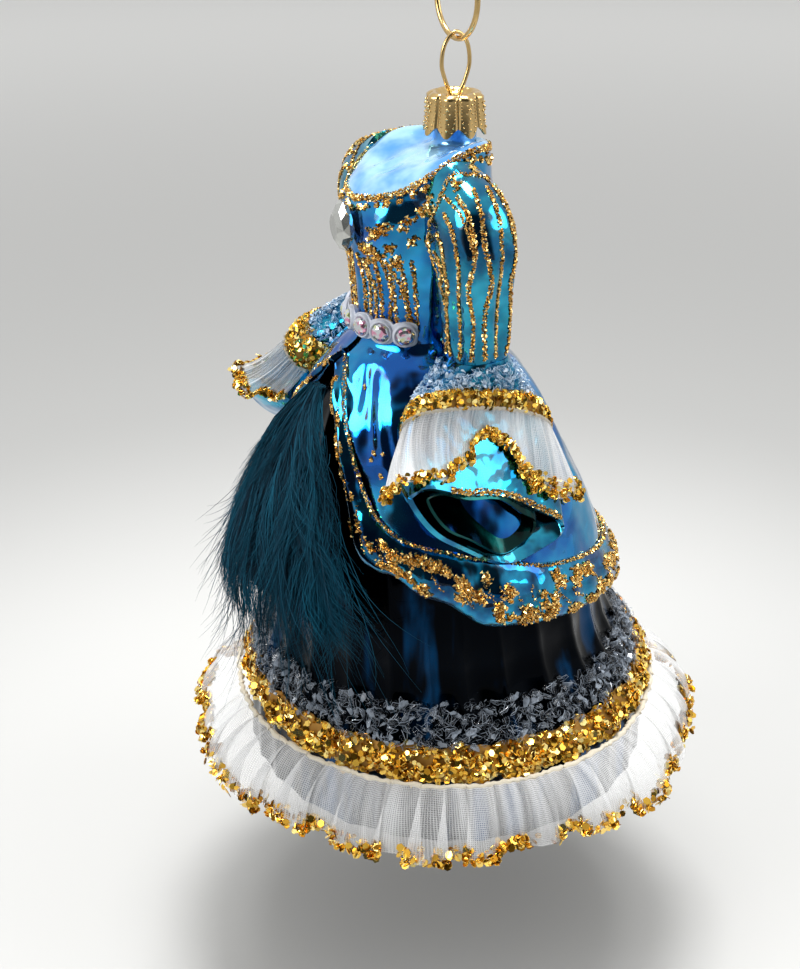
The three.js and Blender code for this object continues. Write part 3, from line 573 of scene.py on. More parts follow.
finishes = {
    "cyan": lacquerFinish("cyanLacquer", (0.02, 0.36, 0.68), (0.003, 0.1, 0.43), 14, 6, 0.09, 0.5),
    "turquoise": lacquerFinish("turquoiseLacquer", (0.02, 0.36, 0.53), (0.002, 0.12, 0.27), 8, 4.5, 0.1, 0.5),
    "border": lacquerFinish("borderLacquer", (0.014, 0.32, 0.56), (0.001, 0.06, 0.2), 7, 4.5, 0.08, 0.5),
    # Navy glass: its random lacquer tone is drawn into vertical blue streaks, painted reflections of light on
    # the dark pleats.
    "navy": lacquerFinish("navyLacquer", (0.001, 0.04, 0.12), (0.0002, 0.0012, 0.003), 8, 9, 0.16, 0.08, 0.12,
                          (0.52, 0.66)),
    # Dark lacquer for the fold inside each bell's mouth, made near-black as painted shade of the hollow.
    "shadedInside": lacquerFinish("shadedInsideLacquer", (0.002, 0.08, 0.075), (0.0005, 0.022, 0.02), 9, 6, 0.2, 0.2),
    "pale": lacquerFinish("paleLacquer", (0.42, 0.74, 0.98), (0.1, 0.36, 0.82), 9, 8, 0.08, silver=0.6),
    "sequins": shadedSequinFinish(),
    "glitter": toneFinish("goldGlitter", (0.42, 0.19, 0.02), (1, 0.74, 0.3), Metallic=1.0, Roughness=0.2),
    "shards": glintShardFinish("clearShards", (0.006, 0.008, 0.014), (0.42, 0.48, 0.56), 0.05, 0.55),
    "frost": glintShardFinish("paleShards", (0.08, 0.3, 0.55), (0.8, 0.9, 1), 0.2, 0.85),
    "organza": organzaFinish("organza", 0.06, 0.46),
    "cuffOrganza": organzaFinish("cuffOrganza", 0.12, 0.56),
    "stone": stoneFinish(),
    "clearStone": plainFinish("cutStone", (0.52, 0.53, 0.5), 1.2, 0.05, Metallic=0.8, Roughness=0.05,
                              Coat_Weight=1.0),
    "milky": plainFinish("milkyResin", (0.82, 0.86, 0.96), 4, 0.1, Roughness=0.3,
                         Transmission_Weight=0.25, IOR=1.4),
    "gold": plainFinish("stampedGold", (0.72, 0.5, 0.21), 1.5, 0.15, Metallic=1.0, Roughness=0.24),
    "feather": toneFinish("feather", (0.0003, 0.008, 0.018), (0.001, 0.07, 0.12), Roughness=0.65,
                          Sheen_Weight=0.06, Sheen_Roughness=0.4, Sheen_Tint=(0.1, 0.6, 0.8, 1),
                          Specular_IOR_Level=0.12),
    "tape": plainFinish("gluedTape", (0.36, 0.18, 0.03), 0.8, 0.6, Metallic=0.6, Roughness=0.5),
    "thread": plainFinish("headingThread", (0.66, 0.6, 0.48), 0.5, 0.9, Roughness=0.8, Sheen_Weight=0.3),
}
print("finishes made")


def keep(piece, finish, slot, *nodes):
    piece.data.materials.clear()
    piece.data.materials.append(finishes[finish])
    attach(piece, "root")
    if nodes:
        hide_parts(*nodes)
    return piece


# Glass skirt: the pleated underskirt and the draped overskirt with its rolled border.
# A grid is the columns and rows of a piece's mesh.
skirt = {"top": 86, "foot": -22, "wall": 1.2, "grid": (300, 30)}
drape = {"front": 4, "top": 89.7, "wall": 1.1, "grid": (280, 30), "borderGrid": (280, 14)}


def underSurface(u, v, out=0):
    return underPoint(u * 360, skirt["top"] + (skirt["foot"] - skirt["top"]) * v, out)


def drapeAngle(u):
    return drape["front"] + (360 - 2 * drape["front"]) * u


def drapeSurface(u, v, out=0):
    angle = drapeAngle(u)
    low = read(drapeRows, "border", fromFront(angle))
    return drapePoint(angle, drape["top"] + (low - drape["top"]) * v, out)


def borderSurface(u, v, out=0):
    return borderPoint(drapeAngle(u), v, out)


underskirt = skinPiece("pleatedSkirt", underSurface, *skirt["grid"], skirt["wall"], True)
keep(underskirt, "navy", "navy_glass", "underskirt")
overskirt = skinPiece("drapedSkirt", drapeSurface, *drape["grid"], drape["wall"])
keep(overskirt, "cyan", "cyan_glass", "overskirt_left", "overskirt_right")
border = skinPiece("drapeBorder", borderSurface, *drape["borderGrid"], drape["wall"])
keep(border, "border", "cyan_glass", "drape_border_left", "drape_border_right")
print("skirt made")


# Glass bodice and the dome that closes its neckline.
bodice = {"foot": 89, "wall": 1.2, "grid": (168, 34)}
neck = {"centre": -0.5, "radius": 4.8, "wall": 0.9, "base": 128.4, "top": 137.2, "domeShare": 0.72,
        "tuck": 1.2, "crown": 1.6, "frontCrown": 1.7, "dip": 1.0, "grid": (120, 30)}


def necklineAt(angle):
    lean = 0.8 * math.sin(math.radians(angle)) - 0.4
    return read(neckRows, "height", fromFront(angle)) + lean


def bodiceSurface(u, v, out=0):
    angle = u * 360
    top = necklineAt(angle)
    return bodicePoint(angle, top + (bodice["foot"] - top) * v, out)


def domeSurface(u, v, out=0):
    angle = u * 360
    a = math.radians(angle)
    edge = bodicePoint(angle, necklineAt(angle), -0.15)
    radius = neck["radius"] + out
    tube = (radius * math.sin(a), neck["centre"] - radius * math.cos(a))
    if v > neck["domeShare"]:
        rise = (v - neck["domeShare"]) / (1 - neck["domeShare"])
        return (*tube, neck["base"] + neck["tuck"] + (neck["top"] - neck["base"] - neck["tuck"]) * rise)
    inward = v / neck["domeShare"]
    x, y = (e + (t - e) * inward for e, t in zip(edge, tube))
    low = edge[2] + 0.2
    front = 0.5 + 0.5 * math.cos(math.radians(fromFront(angle)))
    crown = neck["crown"] + neck["frontCrown"] * front
    crown *= math.sin(math.pi * inward ** 0.75)
    crown *= 1 - 0.5 * inward
    crown -= neck["dip"] * math.exp(-((fromFront(angle + 12) - 14) / 16) ** 2 - ((inward - 0.42) / 0.17) ** 2)
    z = low + (neck["base"] - low) * inward + crown + neck["tuck"] * inward ** 4
    return x, y, z + out * (1 - inward ** 6)


shell = skinPiece("bodiceGlass", bodiceSurface, *bodice["grid"], bodice["wall"], True)
keep(shell, "cyan", "cyan_glass", "bodice_front", "bodice_back")
dome = skinPiece("neckDome", domeSurface, *neck["grid"], neck["wall"], True)
keep(dome, "pale", "pale_glass", "neck_dome")
print("bodice made")


# Sleeves, bell cuffs and the second fold inside each bell's mouth, whose dark lacquer is made near-black as
# painted shade of the hollow.
arms = {"left": 1, "right": -1}
arm = {"wall": 1.1, "grid": (120, 36), "liningFrom": 0.5, "liningTo": 0.985, "liningIn": 1.9,
       "liningWall": 0.6, "liningGrid": (96, 20)}


def sleeveOf(sign):
    return lambda u, v, out=0: sleevePoint(sign, u, v, out)


def bellOf(sign):
    return lambda u, v, out=0: bellPoint(sign, u, v, out)


def liningOf(sign):
    def surface(u, v, out=0):
        down = arm["liningFrom"] + (arm["liningTo"] - arm["liningFrom"]) * v
        x, y, z = bellPoint(sign, u, down, out - arm["liningIn"] + 0.4 * v * math.sin(3 * u * tau + 1))
        middle = read(bellRows, "y", 5 * down) - (bellSwing * down if sign < 0 else 0)
        drawnIn = (0.3 if y > middle else 0.16) * v
        return x, y + (middle - y) * drawnIn, z + 0.25 * (y - middle) * drawnIn
    return surface


for side, sign in arms.items():
    sleeve = skinPiece("sleeveGlass_" + side, sleeveOf(sign), *arm["grid"], arm["wall"], True)
    keep(sleeve, "turquoise", "cyan_glass", "sleeve_" + side)
    bell = skinPiece("bell_" + side, bellOf(sign), *arm["grid"], arm["wall"], True)
    keep(bell, "turquoise", "cyan_glass", "bell_cuff_" + side)
    lining = skinPiece("bellLining_" + side, liningOf(sign), *arm["liningGrid"], arm["liningWall"], True)
    keep(lining, "shadedInside", "navy_glass")
print("sleeves made")


# Gathered organza: the hem ruffle and the ruffle over each bell. Away from fullAt, an angle, the hem
# ruffle's edge goes in by up to its tuck and down by up to its drop, in mm.
ruffle = {"waves": 26, "overlap": 3.3, "centre": -0.8, "fullAt": 62, "tuck": 5, "drop": 3, "thickness": 0.07,
          "grid": (780, 14), "weave": (560, 14), "headRadius": 0.62, "headSquash": 0.8, "headGrid": (620, 8)}
cuffRuffle = {"gathers": 9, "depth": 0.9, "headStep": 2.35, "thickness": 0.07, "grid": (260, 16),
              "weave": (130, 17), "headRadius": 0.4, "headGrid": (160, 8)}


def ruffleSurface(u, v, out=0):
    turn = u * tau
    phase = ruffle["waves"] * turn + 0.9 * math.sin(5 * turn) + 0.5 * math.sin(11 * turn + 1)
    slow = 0.4 * math.sin(7 * turn + 0.7)
    fold = read(ruffleRows, "wave", v) * (0.45 * math.cos(phase) + slow)
    pucker = 0.22 * math.sin(148 * turn + 2 * math.sin(9 * turn)) * (1 - 0.75 * v)
    strength = 0.75 + 0.35 * math.sin(3 * turn + 0.5) + 0.3 * math.sin(8 * turn)
    overlap = ruffle["overlap"] * strength * math.sin(2 * phase + 0.6 * v) * (0.35 + 0.65 * v)
    a = turn + math.radians(overlap)
    hang = v * step(0.5, 0.85, 0.5 - 0.5 * math.cos(turn - math.radians(ruffle["fullAt"])))
    radius = read(ruffleRows, "radius", v) + fold + pucker + out - ruffle["tuck"] * hang
    height = read(ruffleRows, "height", v) - 0.25 * fold + 0.5 * v * math.sin(4 * turn + 2)
    height -= ruffle["drop"] * hang
    return radius * math.sin(a), ruffle["centre"] - radius * math.cos(a), height


def cuffRuffleOf(sign):
    first, last = cuffFallRows["angle"][0], cuffFallRows["angle"][-1]

    def surface(u, v, out=0):
        angle = first + (last - first) * u
        reach = read(cuffFallRows, "reach", angle)
        to = read(cuffFallRows, "to", angle)
        phase = cuffRuffle["gathers"] * u * tau
        wave = cuffRuffle["depth"] * v * math.cos(phase + 0.7 * math.sin(3 * u * tau))
        pucker = 0.2 * math.sin(66 * u * tau + math.sin(14 * u)) * (1 - 0.4 * v)
        slide = 3.4 * math.sin(2 * phase + 1) * (0.3 + 0.7 * v) * (0.6 + 0.4 * math.sin(5 * u * tau))
        around = ((angle + slide) / 360) % 1
        down = cuffRuffle["headStep"] + (to - cuffRuffle["headStep"]) * v
        return bellPoint(sign, around, down / 5, 0.7 + reach * v ** 1.3 + wave + pucker + out)
    return surface


hemRuffle = skinPiece("hemRuffle", ruffleSurface, *ruffle["grid"], ruffle["thickness"], True, ruffle["weave"])
keep(hemRuffle, "organza", "organza", "hem_ruffle")
for side, sign in arms.items():
    piece = skinPiece("cuffRuffle_" + side, cuffRuffleOf(sign), *cuffRuffle["grid"],
                      cuffRuffle["thickness"], False, cuffRuffle["weave"])
    keep(piece, "cuffOrganza", "organza", "cuff_ruffle_" + side)
print("ruffles made")


# The rolled heading of each ruffle, a tube of gathered cloth under the sequins.
def rollOf(surface, radius, squash=1.0):
    def roll(u, v, out=0):
        turn = v * tau
        lump = 1 + 0.16 * math.sin(97 * u * tau) + 0.12 * math.sin(61 * u * tau + 1)
        reach = (radius * lump + out) * math.cos(turn)
        x, y, z = surface(u, 0.02, reach)
        return x, y, z + (radius * lump + out) * squash * math.sin(turn)
    return roll


heading = rollOf(ruffleSurface, ruffle["headRadius"], ruffle["headSquash"])
heading = skinPiece("hemHeading", heading, *ruffle["headGrid"], 0, True)
keep(heading, "thread", "organza")
for side, sign in arms.items():
    roll = rollOf(cuffRuffleOf(sign), cuffRuffle["headRadius"])
    roll = skinPiece("cuffHeading_" + side, roll, *cuffRuffle["headGrid"], 0, True)
    keep(roll, "thread", "organza")


# Glued trims: shards and sequins at the hem, on the bells and along the ruffles' edges.
# The rise is how far in mm the loose pieces heap up over their zone, and the tilt how far they lean.
trims = {
    "hemBand": {"from": -4.9, "to": 3.9, "stand": 0.35, "pad": 0.9, "padGrid": (240, 8), "rise": 1.7,
                "tilt": 1.0, "count": 3600, "size": (0.6, 0.95)},
    "hemFrost": {"from": 3.2, "to": 13, "stand": 0.4, "rise": 1.0, "tilt": 1.3, "count": 3000,
                 "size": (0.65, 1.4)},
    "cuffBand": {"from": 1.35, "to": 2.35, "stand": 0.45, "pad": 0.6, "padGrid": (96, 6), "rise": 1.0,
                 "tilt": 0.8, "count": 900, "size": (0.5, 0.78)},
    "cuffFrost": {"from": 0.15, "to": 1.4, "stand": 0.35, "rise": 0.7, "tilt": 1.4, "count": 950,
                  "size": (0.38, 0.85)},
    "ruffleEdge": {"from": 0.84, "to": 1.04, "tilt": 1.2, "count": 3800, "size": (0.66, 1.0)},
    "cuffEdge": {"from": 0.82, "to": 1.03, "tilt": 1.1, "count": 1500, "size": (0.5, 0.82)},
}
padWall = 0.3
sequinShape = discShape(6, 0.09)


def hemZone(trim):
    def surface(u, v, out=0):
        angle = u * 360
        ragged = math.sin(math.radians(23 * angle)) + 0.8 * math.sin(math.radians(57 * angle + 30))
        height = trim["from"] + (trim["to"] - trim["from"]) * v + ragged * (v - 0.6)
        return underPoint(angle, height, trim["stand"] + out)
    return surface


def cuffZone(sign, trim):
    def surface(u, v, out=0):
        ragged = 0.1 * math.sin(11 * u * tau) + 0.07 * math.sin(23 * u * tau + 1)
        down = trim["from"] + (trim["to"] - trim["from"]) * v + ragged * (v - 0.5)
        return bellPoint(sign, u, down / 5, trim["stand"] + out)
    return surface


def bulge(v):
    return math.sin(math.pi * (0.1 + 0.8 * v))


def padPiece(name, zone, trim):
    def pad(u, v, out=0):
        return zone(u, v, out + trim["pad"] * bulge(v))
    return skinPiece(name, pad, *trim["padGrid"], padWall, True)


def domed(zone, trim):
    spots = []
    for _ in range(trim["count"]):
        u, v = dice.random(), dice.random()
        seat = frameOn(zone, u, v, trim["rise"] * bulge(v) * dice.uniform(0.6, 1.15))
        spots.append(looseSpot(*seat, trim["tilt"], trim["size"]))
    return spots


band = trims["hemBand"]
keep(padPiece("hemPad", hemZone(band), band), "tape", "gold_sequins", "hem_band")
keep(scatterPiece("hemSequins", sequinShape, domed(hemZone(band), band)), "sequins", "gold_sequins")
frost = trims["hemFrost"]
shards = scatterPiece("hemShards", shardShape(), domed(hemZone(frost), frost))
keep(shards, "shards", "clear_shards", "hem_frost")

for side, sign in arms.items():
    band, frost, edge = trims["cuffBand"], trims["cuffFrost"], trims["cuffEdge"]
    zone = cuffZone(sign, band)
    keep(padPiece("cuffPad_" + side, zone, band), "tape", "gold_sequins", "cuff_band_" + side)
    keep(scatterPiece("cuffSequins_" + side, sequinShape, domed(zone, band)), "sequins", "gold_sequins")
    shards = scatterPiece("cuffShards_" + side, shardShape(), domed(cuffZone(sign, frost), frost))
    keep(shards, "frost", "clear_shards", "cuff_frost_" + side)
    spots = []
    for _ in range(edge["count"]):
        u = dice.random()
        if math.cos(2 * tau * (u - 0.04)) < -0.25 and dice.random() < 0.7:
            continue
        v = edge["to"] - (edge["to"] - edge["from"]) * dice.random() ** 1.3
        seat = frameOn(cuffRuffleOf(sign), u, v, dice.uniform(-0.6, 0.8))
        spots.append(looseSpot(*seat, edge["tilt"], edge["size"]))
    keep(scatterPiece("cuffEdge_" + side, sequinShape, spots), "sequins", "gold_sequins")

edge = trims["ruffleEdge"]
spots = []
for _ in range(edge["count"]):
    u = dice.random()
    bare = math.sin(9 * u * tau + 1.2) + 0.9 * math.sin(23 * u * tau)
    if bare > 0.95 and dice.random() < 0.9:
        continue
    v = edge["to"] - (edge["to"] - edge["from"]) * dice.random() ** 1.5
    seat = frameOn(ruffleSurface, u, v, dice.uniform(-1.0, 1.0))
    spots.append(looseSpot(*seat, edge["tilt"], edge["size"]))
keep(scatterPiece("ruffleEdge", sequinShape, spots), "sequins", "gold_sequins")
print("trims made")


# Glitter drawn in glue: lines down the sleeves, sprigs on the bodice and on the border.
glitter = {"neck": 21, "line": 12, "sleeveLines": 15, "sprigs": 84, "gap": 0.06, "lift": 0.12, "tilt": 0.9,
           "blossomGrain": (0.3, 0.54), "stitchGrain": (0.23, 0.37)}
gauges = {"sleeve": (46, 34), "bodice": (95, 34), "border": (250, 15), "drape": (230, 40)}
stems = ((4, 9, 7), (9, 17, 13), (13, 24, 22), (24, 29, 30), (31, 38, 36), (38, 41, 46), (46, 52, 55),
         (33, 50, 60), (56, 60, 63))  # angles at the top, at the bend and at the foot
blossoms = ((22, 0.33, 2.3), (30, 0.22, 2.2), (37, 0.19, 1.8), (30, 0.38, 1.7), (12, 0.33, 1.3),
            (44, 0.43, 1.8), (18, 0.42, 1.3), (50, 0.65, 1.3), (40, 0.33, 1.6), (52, 0.2, 1.8),
            (58, 0.32, 1.4), (63, 0.16, 1.6))  # angle, share of the way down and radius
grains = []


# Grains glued along a line that is drawn on a surface, scattered over its width in mm.
def drawLine(surface, points, width, perMm, size=(0.15, 0.27)):
    path = curvePath(points)
    places = [place(*surface(u, v, 0)) for u, v in path]
    for (u0, v0), (u1, v1), a, b in zip(path, path[1:], places, places[1:]):
        span = (b - a).length / mm
        for _ in range(max(1, round(span * perMm + dice.uniform(-0.4, 0.4)))):
            if dice.random() < glitter["gap"]:
                continue
            s = dice.random()
            at, normal, across = frameOn(surface, u0 + (u1 - u0) * s, v0 + (v1 - v0) * s, glitter["lift"])
            way = (b - a).normalized()
            at = at + way.cross(normal) * dice.uniform(-0.5, 0.5) * width * mm
            grains.append(looseSpot(at, normal, across, glitter["tilt"], size))


# Grains in five petals; the gauge is how many mm of the surface each of its parameters covers.
def drawBlossom(surface, u, v, radius, gauge):
    for _ in range(int(13 * radius * radius) + 6):
        a, r = dice.uniform(0, tau), radius * math.sqrt(dice.random())
        r *= 0.72 + 0.28 * math.cos(5 * a)
        seat = frameOn(surface, u + r * math.cos(a) / gauge[0], v + r * math.sin(a) / gauge[1], 0.2)
        grains.append(looseSpot(*seat, glitter["tilt"], glitter["blossomGrain"]))


for side, sign in arms.items():
    sleeveSkin = sleeveOf(sign)
    for k in range(glitter["sleeveLines"]):
        start = (k + 0.5) / glitter["sleeveLines"]
        sway = 0.016 * math.sin(k * 2.1)
        points = [(start, 0.16), (start + sway, 0.34), (start - sway, 0.55),
                  (start + sway * 0.5, 0.78), (start, 0.98)]
        drawLine(sleeveSkin, points, 0.9, glitter["line"], glitter["stitchGrain"])
        if k % 3 == 1:
            spur = [(start - 0.035, 0.12), (start - 0.012, 0.24), (start + 0.003, 0.36)]
            drawLine(sleeveSkin, spur, 0.7, 14)
    drawLine(sleeveSkin, [(i / 16, 0.1 + 0.02 * math.sin(i * 2)) for i in range(17)], 1.1, 12)
    for k in range(9):
        u, v = (k + 0.3) / 9, dice.uniform(0.06, 0.15)
        drawBlossom(sleeveSkin, u, v, dice.uniform(1.0, 1.7), gauges["sleeve"])
    lip = [(-0.08 + 0.3 * i / 12, 0.985) for i in range(13)]
    drawLine(bellOf(sign), lip, 1.3, 14, (0.25, 0.4))

neckLine = [(i / 40, -0.01) for i in range(41)]
drawLine(bodiceSurface, neckLine, 1.4, glitter["neck"], (0.2, 0.34))
for k in range(40):
    u = k / 40 + dice.uniform(-0.006, 0.006)
    drawBlossom(bodiceSurface, u, dice.uniform(0.03, 0.07), dice.uniform(0.6, 1.1), gauges["bodice"])

for mirror in (1, -1):
    for k, (top, turn, foot) in enumerate(stems):
        rows = ((top, 0.38 + 0.03 * (k % 3)), (turn, 0.62), (foot, 0.93))
        line = [(mirror * a / 360 % 1, v) for a, v in rows]
        drawLine(bodiceSurface, line, 0.95, 11, glitter["stitchGrain"])
    for angle, v, size in blossoms:
        drawBlossom(bodiceSurface, (mirror * angle / 360) % 1, v, size, gauges["bodice"])

topEdge = [(i / 90, 0.02) for i in range(91)]
drawLine(borderSurface, topEdge, 1.0, 9, (0.2, 0.32))
for k in range(glitter["sprigs"]):
    u = (k + 0.5) / glitter["sprigs"]
    for _ in range(3):
        uv = u + dice.uniform(-0.008, 0.008), dice.uniform(0.2, 0.88)
        upright = min(u, 1 - u) < 0.11
        if not (upright and dice.random() < 0.45):
            radius = dice.uniform(0.7, 1.2) if upright else dice.uniform(1.2, 2.5)
            drawBlossom(borderSurface, *uv, radius, gauges["border"])
    if k % 2:
        bend = dice.uniform(-0.01, 0.01)
        drawLine(borderSurface, [(u, 0.3), (u + bend, 0.5), (u + 0.012, 0.75)], 0.7, 4)
for _ in range(36):
    u, v = dice.choice((dice.uniform(0.06, 0.25), dice.uniform(0.75, 0.94))), dice.uniform(0.35, 0.75)
    drawBlossom(drapeSurface, u, v, 0.5, gauges["drape"])
keep(scatterPiece("glitter", grainShape(), grains), "glitter", "gold_sequins")
print("glitter made,", len(grains), "grains")


# Belt strip with its cups, six foiled stones, and the cut stone at the neckline.
belt = {"height": 92.2, "halfSpan": 63, "half": 1.7, "lobe": 1.2, "stand": 0.35, "thickness": 1.0,
        "pitch": 21, "grid": (130, 10)}
stoneAngles = (-52.5, -31.5, -10.5, 10.5, 31.5, 52.5)


def beltSurface(u, v, out=0):
    angle = belt["halfSpan"] * (2 * u - 1)
    lobes = abs(math.cos(math.pi * angle / belt["pitch"] + math.pi / 2))
    half = belt["half"] + belt["lobe"] * math.sqrt(lobes)
    swell = 0.35 * (1 - abs(2 * v - 1) ** 4)
    push = belt["stand"] + belt["thickness"] - 0.35 + swell + out
    return bodicePoint(angle, belt["height"] + half * (1 - 2 * v), push)


# A seat for a stone on the bodice's front, at an angle and a height below a given top.
def stoneSeat(top, angle, height, out):
    def face(u, v, out=0):
        return bodicePoint((u - 0.5) * 360, top - v * 20, out)
    return frameOn(face, 0.5 + angle / 360, (top - height) / 20, out)


def circle(a):
    return math.cos(a), math.sin(a)


# Rings of corners, each second one turned by half a side, and the two ends that close them.
def ringCorners(rings, sides, outline):
    corners = []
    for j, (r, z) in enumerate(rings):
        for i in range(sides):
            x, y = outline((i + 0.5 * (j % 2)) / sides * tau)
            corners.append((r * x, r * y, z))
    return corners, [tuple(reversed(range(sides))), tuple((len(rings) - 1) * sides + i for i in range(sides))]


def turnedShape(rings, sides):
    corners, ends = ringCorners(rings, sides, circle)
    faces = []
    for j in range(len(rings) - 1):
        for i in range(sides):
            a, b = j * sides + i, j * sides + (i + 1) % sides
            faces += [(a, b, b + sides, a + sides)]
    return corners, faces + ends


def faceting(rings, sides, outline):
    corners, ends = ringCorners(rings, sides, outline)
    faces = []
    for j in range(len(rings) - 1):
        for i in range(sides):
            low, nextLow = j * sides + i, j * sides + (i + 1) % sides
            high, after = low + sides, nextLow + sides
            if j % 2:
                faces += [(low, nextLow, after), (low, after, high)]
            else:
                faces += [(low, nextLow, high), (nextLow, after, high)]
    return corners, faces + ends


strip = skinPiece("beltStrip", beltSurface, *belt["grid"], belt["thickness"])
keep(strip, "milky", "milky_resin", "belt_strip")
cups = turnedShape([(2.75, 0), (2.7, 0.7), (2.45, 1.0), (2.2, 0.95), (2.0, 0.45)], 28)
spots, cupSpots = [], []
for k, angle in enumerate(stoneAngles):
    at, normal, across = stoneSeat(100, angle, belt["height"], belt["stand"] + 1.25)
    spots.append((at + normal * 0.4 * mm, normal, across, 1, (k * 0.37) % 1))
    cupSpots.append((at - normal * 0.3 * mm, normal, across, 1, 0.5))
cupRow = keep(scatterPiece("beltCups", cups, cupSpots), "milky", "milky_resin")
smooth(cupRow, 50)
cut = faceting([(1.7, -0.3), (2.05, 0.35), (1.75, 0.85), (1.15, 1.2)], 10, circle)
stones = scatterPiece("beltStones", cut, spots)
keep(stones, "stone", "crystal", *("belt_stone_%d" % k for k in range(1, 7)))


def lozenge(a):
    c, s = math.cos(a), math.sin(a)
    reach = 1 / (abs(c) ** 1.35 + abs(s) ** 1.35) ** (1 / 1.35)
    return 4.6 * c * reach, 6.1 * s * reach


brooch = {"height": 114.6, "stand": 0.6}
rings = [(0.82, 0), (1.0, 1.2), (0.8, 2.5), (0.5, 3.5)]
at, normal, across = stoneSeat(120, 0, brooch["height"], brooch["stand"])
stone = scatterPiece("neckStone", faceting(rings, 12, lozenge), [(at, normal, across, 1, 0.1)])
keep(stone, "clearStone", "crystal", "brooch")
print("stones made")


# Stamped cap with beaded petals, the wire loop and the ring.
cap = {"radius": 6, "flare": 0.75, "petals": 8, "tip": 131.4, "notch": 1.9, "hole": 1.9, "top": 140.4,
       "wall": 0.45, "grid": (192, 30), "rimBeads": 9, "rimBead": 0.2}
petalBeads = ((0.13, 0, 0.34), (0.3, 0, 0.3), (0.44, 0, 0.42), (0.37, 0.12, 0.26), (0.37, -0.12, 0.26),
              (0.5, 0.12, 0.26), (0.5, -0.12, 0.26), (0.22, 0.08, 0.18), (0.22, -0.08, 0.18))


def capSurface(u, v, out=0):
    petal = math.cos(cap["petals"] * u * tau)
    side, inward = min(v / 0.6, 1), max((v - 0.6) / 0.4, 0)
    low = cap["tip"] + cap["notch"] * (0.5 - 0.5 * petal)
    shoulder = cap["top"] - 0.9
    groove = 0.35 * math.exp(-((1 + petal) / 0.1) ** 2) * (1 - inward)
    skirtRadius = cap["radius"] + cap["flare"] * (1 - side) ** 1.4 + 0.3 * petal * (1 - inward) - groove
    radius = (skirtRadius + out) * (1 - inward) + cap["hole"] * inward
    crown = 0.9 * math.sin(math.pi * min(inward * 1.5, 1)) - 0.5 * inward
    height = low + (shoulder - low) * side + crown + (out if side == 1 else out * side)
    a = u * tau
    return radius * math.sin(a), neck["centre"] - radius * math.cos(a), height


metal = skinPiece("stampedCap", capSurface, *cap["grid"], cap["wall"], True)
keep(metal, "gold", "gold_metal", "cap")
spots = []
for p in range(cap["petals"]):
    for k in range(cap["rimBeads"]):
        for hand in (-1, 1):
            v = 0.04 + k * 0.062
            u = (p + hand * (0.19 + 0.17 * min(v / 0.2, 1))) / cap["petals"]
            at, normal, across = frameOn(capSurface, u % 1, v, 0.08)
            spots.append((at, normal, across, cap["rimBead"], 0.5))
    for v, u, size in petalBeads:
        at, normal, across = frameOn(capSurface, ((p + u) / cap["petals"]) % 1, v, 0.06)
        spots.append((at, normal, across, size, 0.5))
beads = keep(scatterPiece("capBeads", beadShape(), spots), "gold", "gold_metal")
smooth(beads, 180)

loopSize = {"wire": 0.45, "grid": (14, 112)}
loopRows = ((2.9, 131.5), (1.9, 134.5), (1.1, 137.4), (1.1, 139.6), (2.4, 142.4), (3.4, 146), (2.6, 150.2))
loopPath = [(neck["centre"] - y, z) for y, z in loopRows] + [(neck["centre"], 152.4)]
loopPath += [(neck["centre"] + y, z) for y, z in reversed(loopRows)]
loopLine = curvePath(loopPath)


def loopSurface(u, v, out=0):
    i = min(int(v * (len(loopLine) - 1)), len(loopLine) - 2)
    s = v * (len(loopLine) - 1) - i
    (y0, z0), (y1, z1) = loopLine[i], loopLine[i + 1]
    before, after = loopLine[max(i - 1, 0)], loopLine[min(i + 2, len(loopLine) - 1)]
    ty, tz = after[0] - before[0], after[1] - before[1]
    length = math.hypot(ty, tz)
    radius, a = loopSize["wire"] + out, u * tau
    side = radius * math.cos(a)
    y = y0 + (y1 - y0) * s - side * tz / length
    z = z0 + (z1 - z0) * s + side * ty / length
    return radius * math.sin(a), y, z


loop = skinPiece("wireLoop", loopSurface, *loopSize["grid"], 0, True)
keep(loop, "gold", "gold_metal", "wire_loop")

ringSize = {"radius": 8.4, "wire": 0.6, "height": 159.45, "grid": (96, 16)}
deselect()
bpy.ops.mesh.primitive_torus_add(
    major_radius=ringSize["radius"] * mm, minor_radius=ringSize["wire"] * mm,
    major_segments=ringSize["grid"][0], minor_segments=ringSize["grid"][1],
    location=place(0, neck["centre"], ringSize["height"]), rotation=(math.pi / 2, 0, 0))
ring = bpy.context.active_object
ring.name = ring.data.name = "hangingRing"
bpy.ops.object.transform_apply(location=True, rotation=True, scale=True)
smooth(ring, 60)
keep(ring, "gold", "gold_metal", "hanging_ring")
print("cap and wires made")


# Plume: a dark core under clumps of fine barbs, and a few long loose ones.
plume = {"stand": 2.7, "coreGrid": (64, 32), "coreWall": 2.0, "clumps": 340, "perClump": 13, "loose": 250,
         "root": 0.09, "looseRoot": 0.1, "tip": 0.015, "steps": 5, "looseSteps": 8}


def plumeSurface(u, v, out=0):
    row = min(max(v, 0), 1)
    angle = read(plumeRows, "angle", row)
    half = read(plumeRows, "halfAngle", row)
    height = read(plumeRows, "height", row) - max(v - 1, 0) * 60
    return skirtPoint(angle + half * (2 * u - 1), height, plume["stand"] + out)


def plumeDepth(u, v):
    return read(plumeRows, "depth", min(v, 1)) * math.sqrt(max(1 - (2 * u - 1) ** 2, 0.02))


def coreSurface(u, v, out=0):
    u2, v2 = 0.2 + 0.54 * u, 0.66 * v
    rib = 1 + 0.12 * math.cos(13 * u * tau + 4 * v)
    arch = math.sqrt(max(math.sin(math.pi * u), 0.02))
    return plumeSurface(u2, v2, 0.72 * plumeDepth(u2, v2) * rib * arch + out)


core = skinPiece("plumeCore", coreSurface, *plume["coreGrid"], plume["coreWall"])
keep(core, "feather", "feather", "plume")


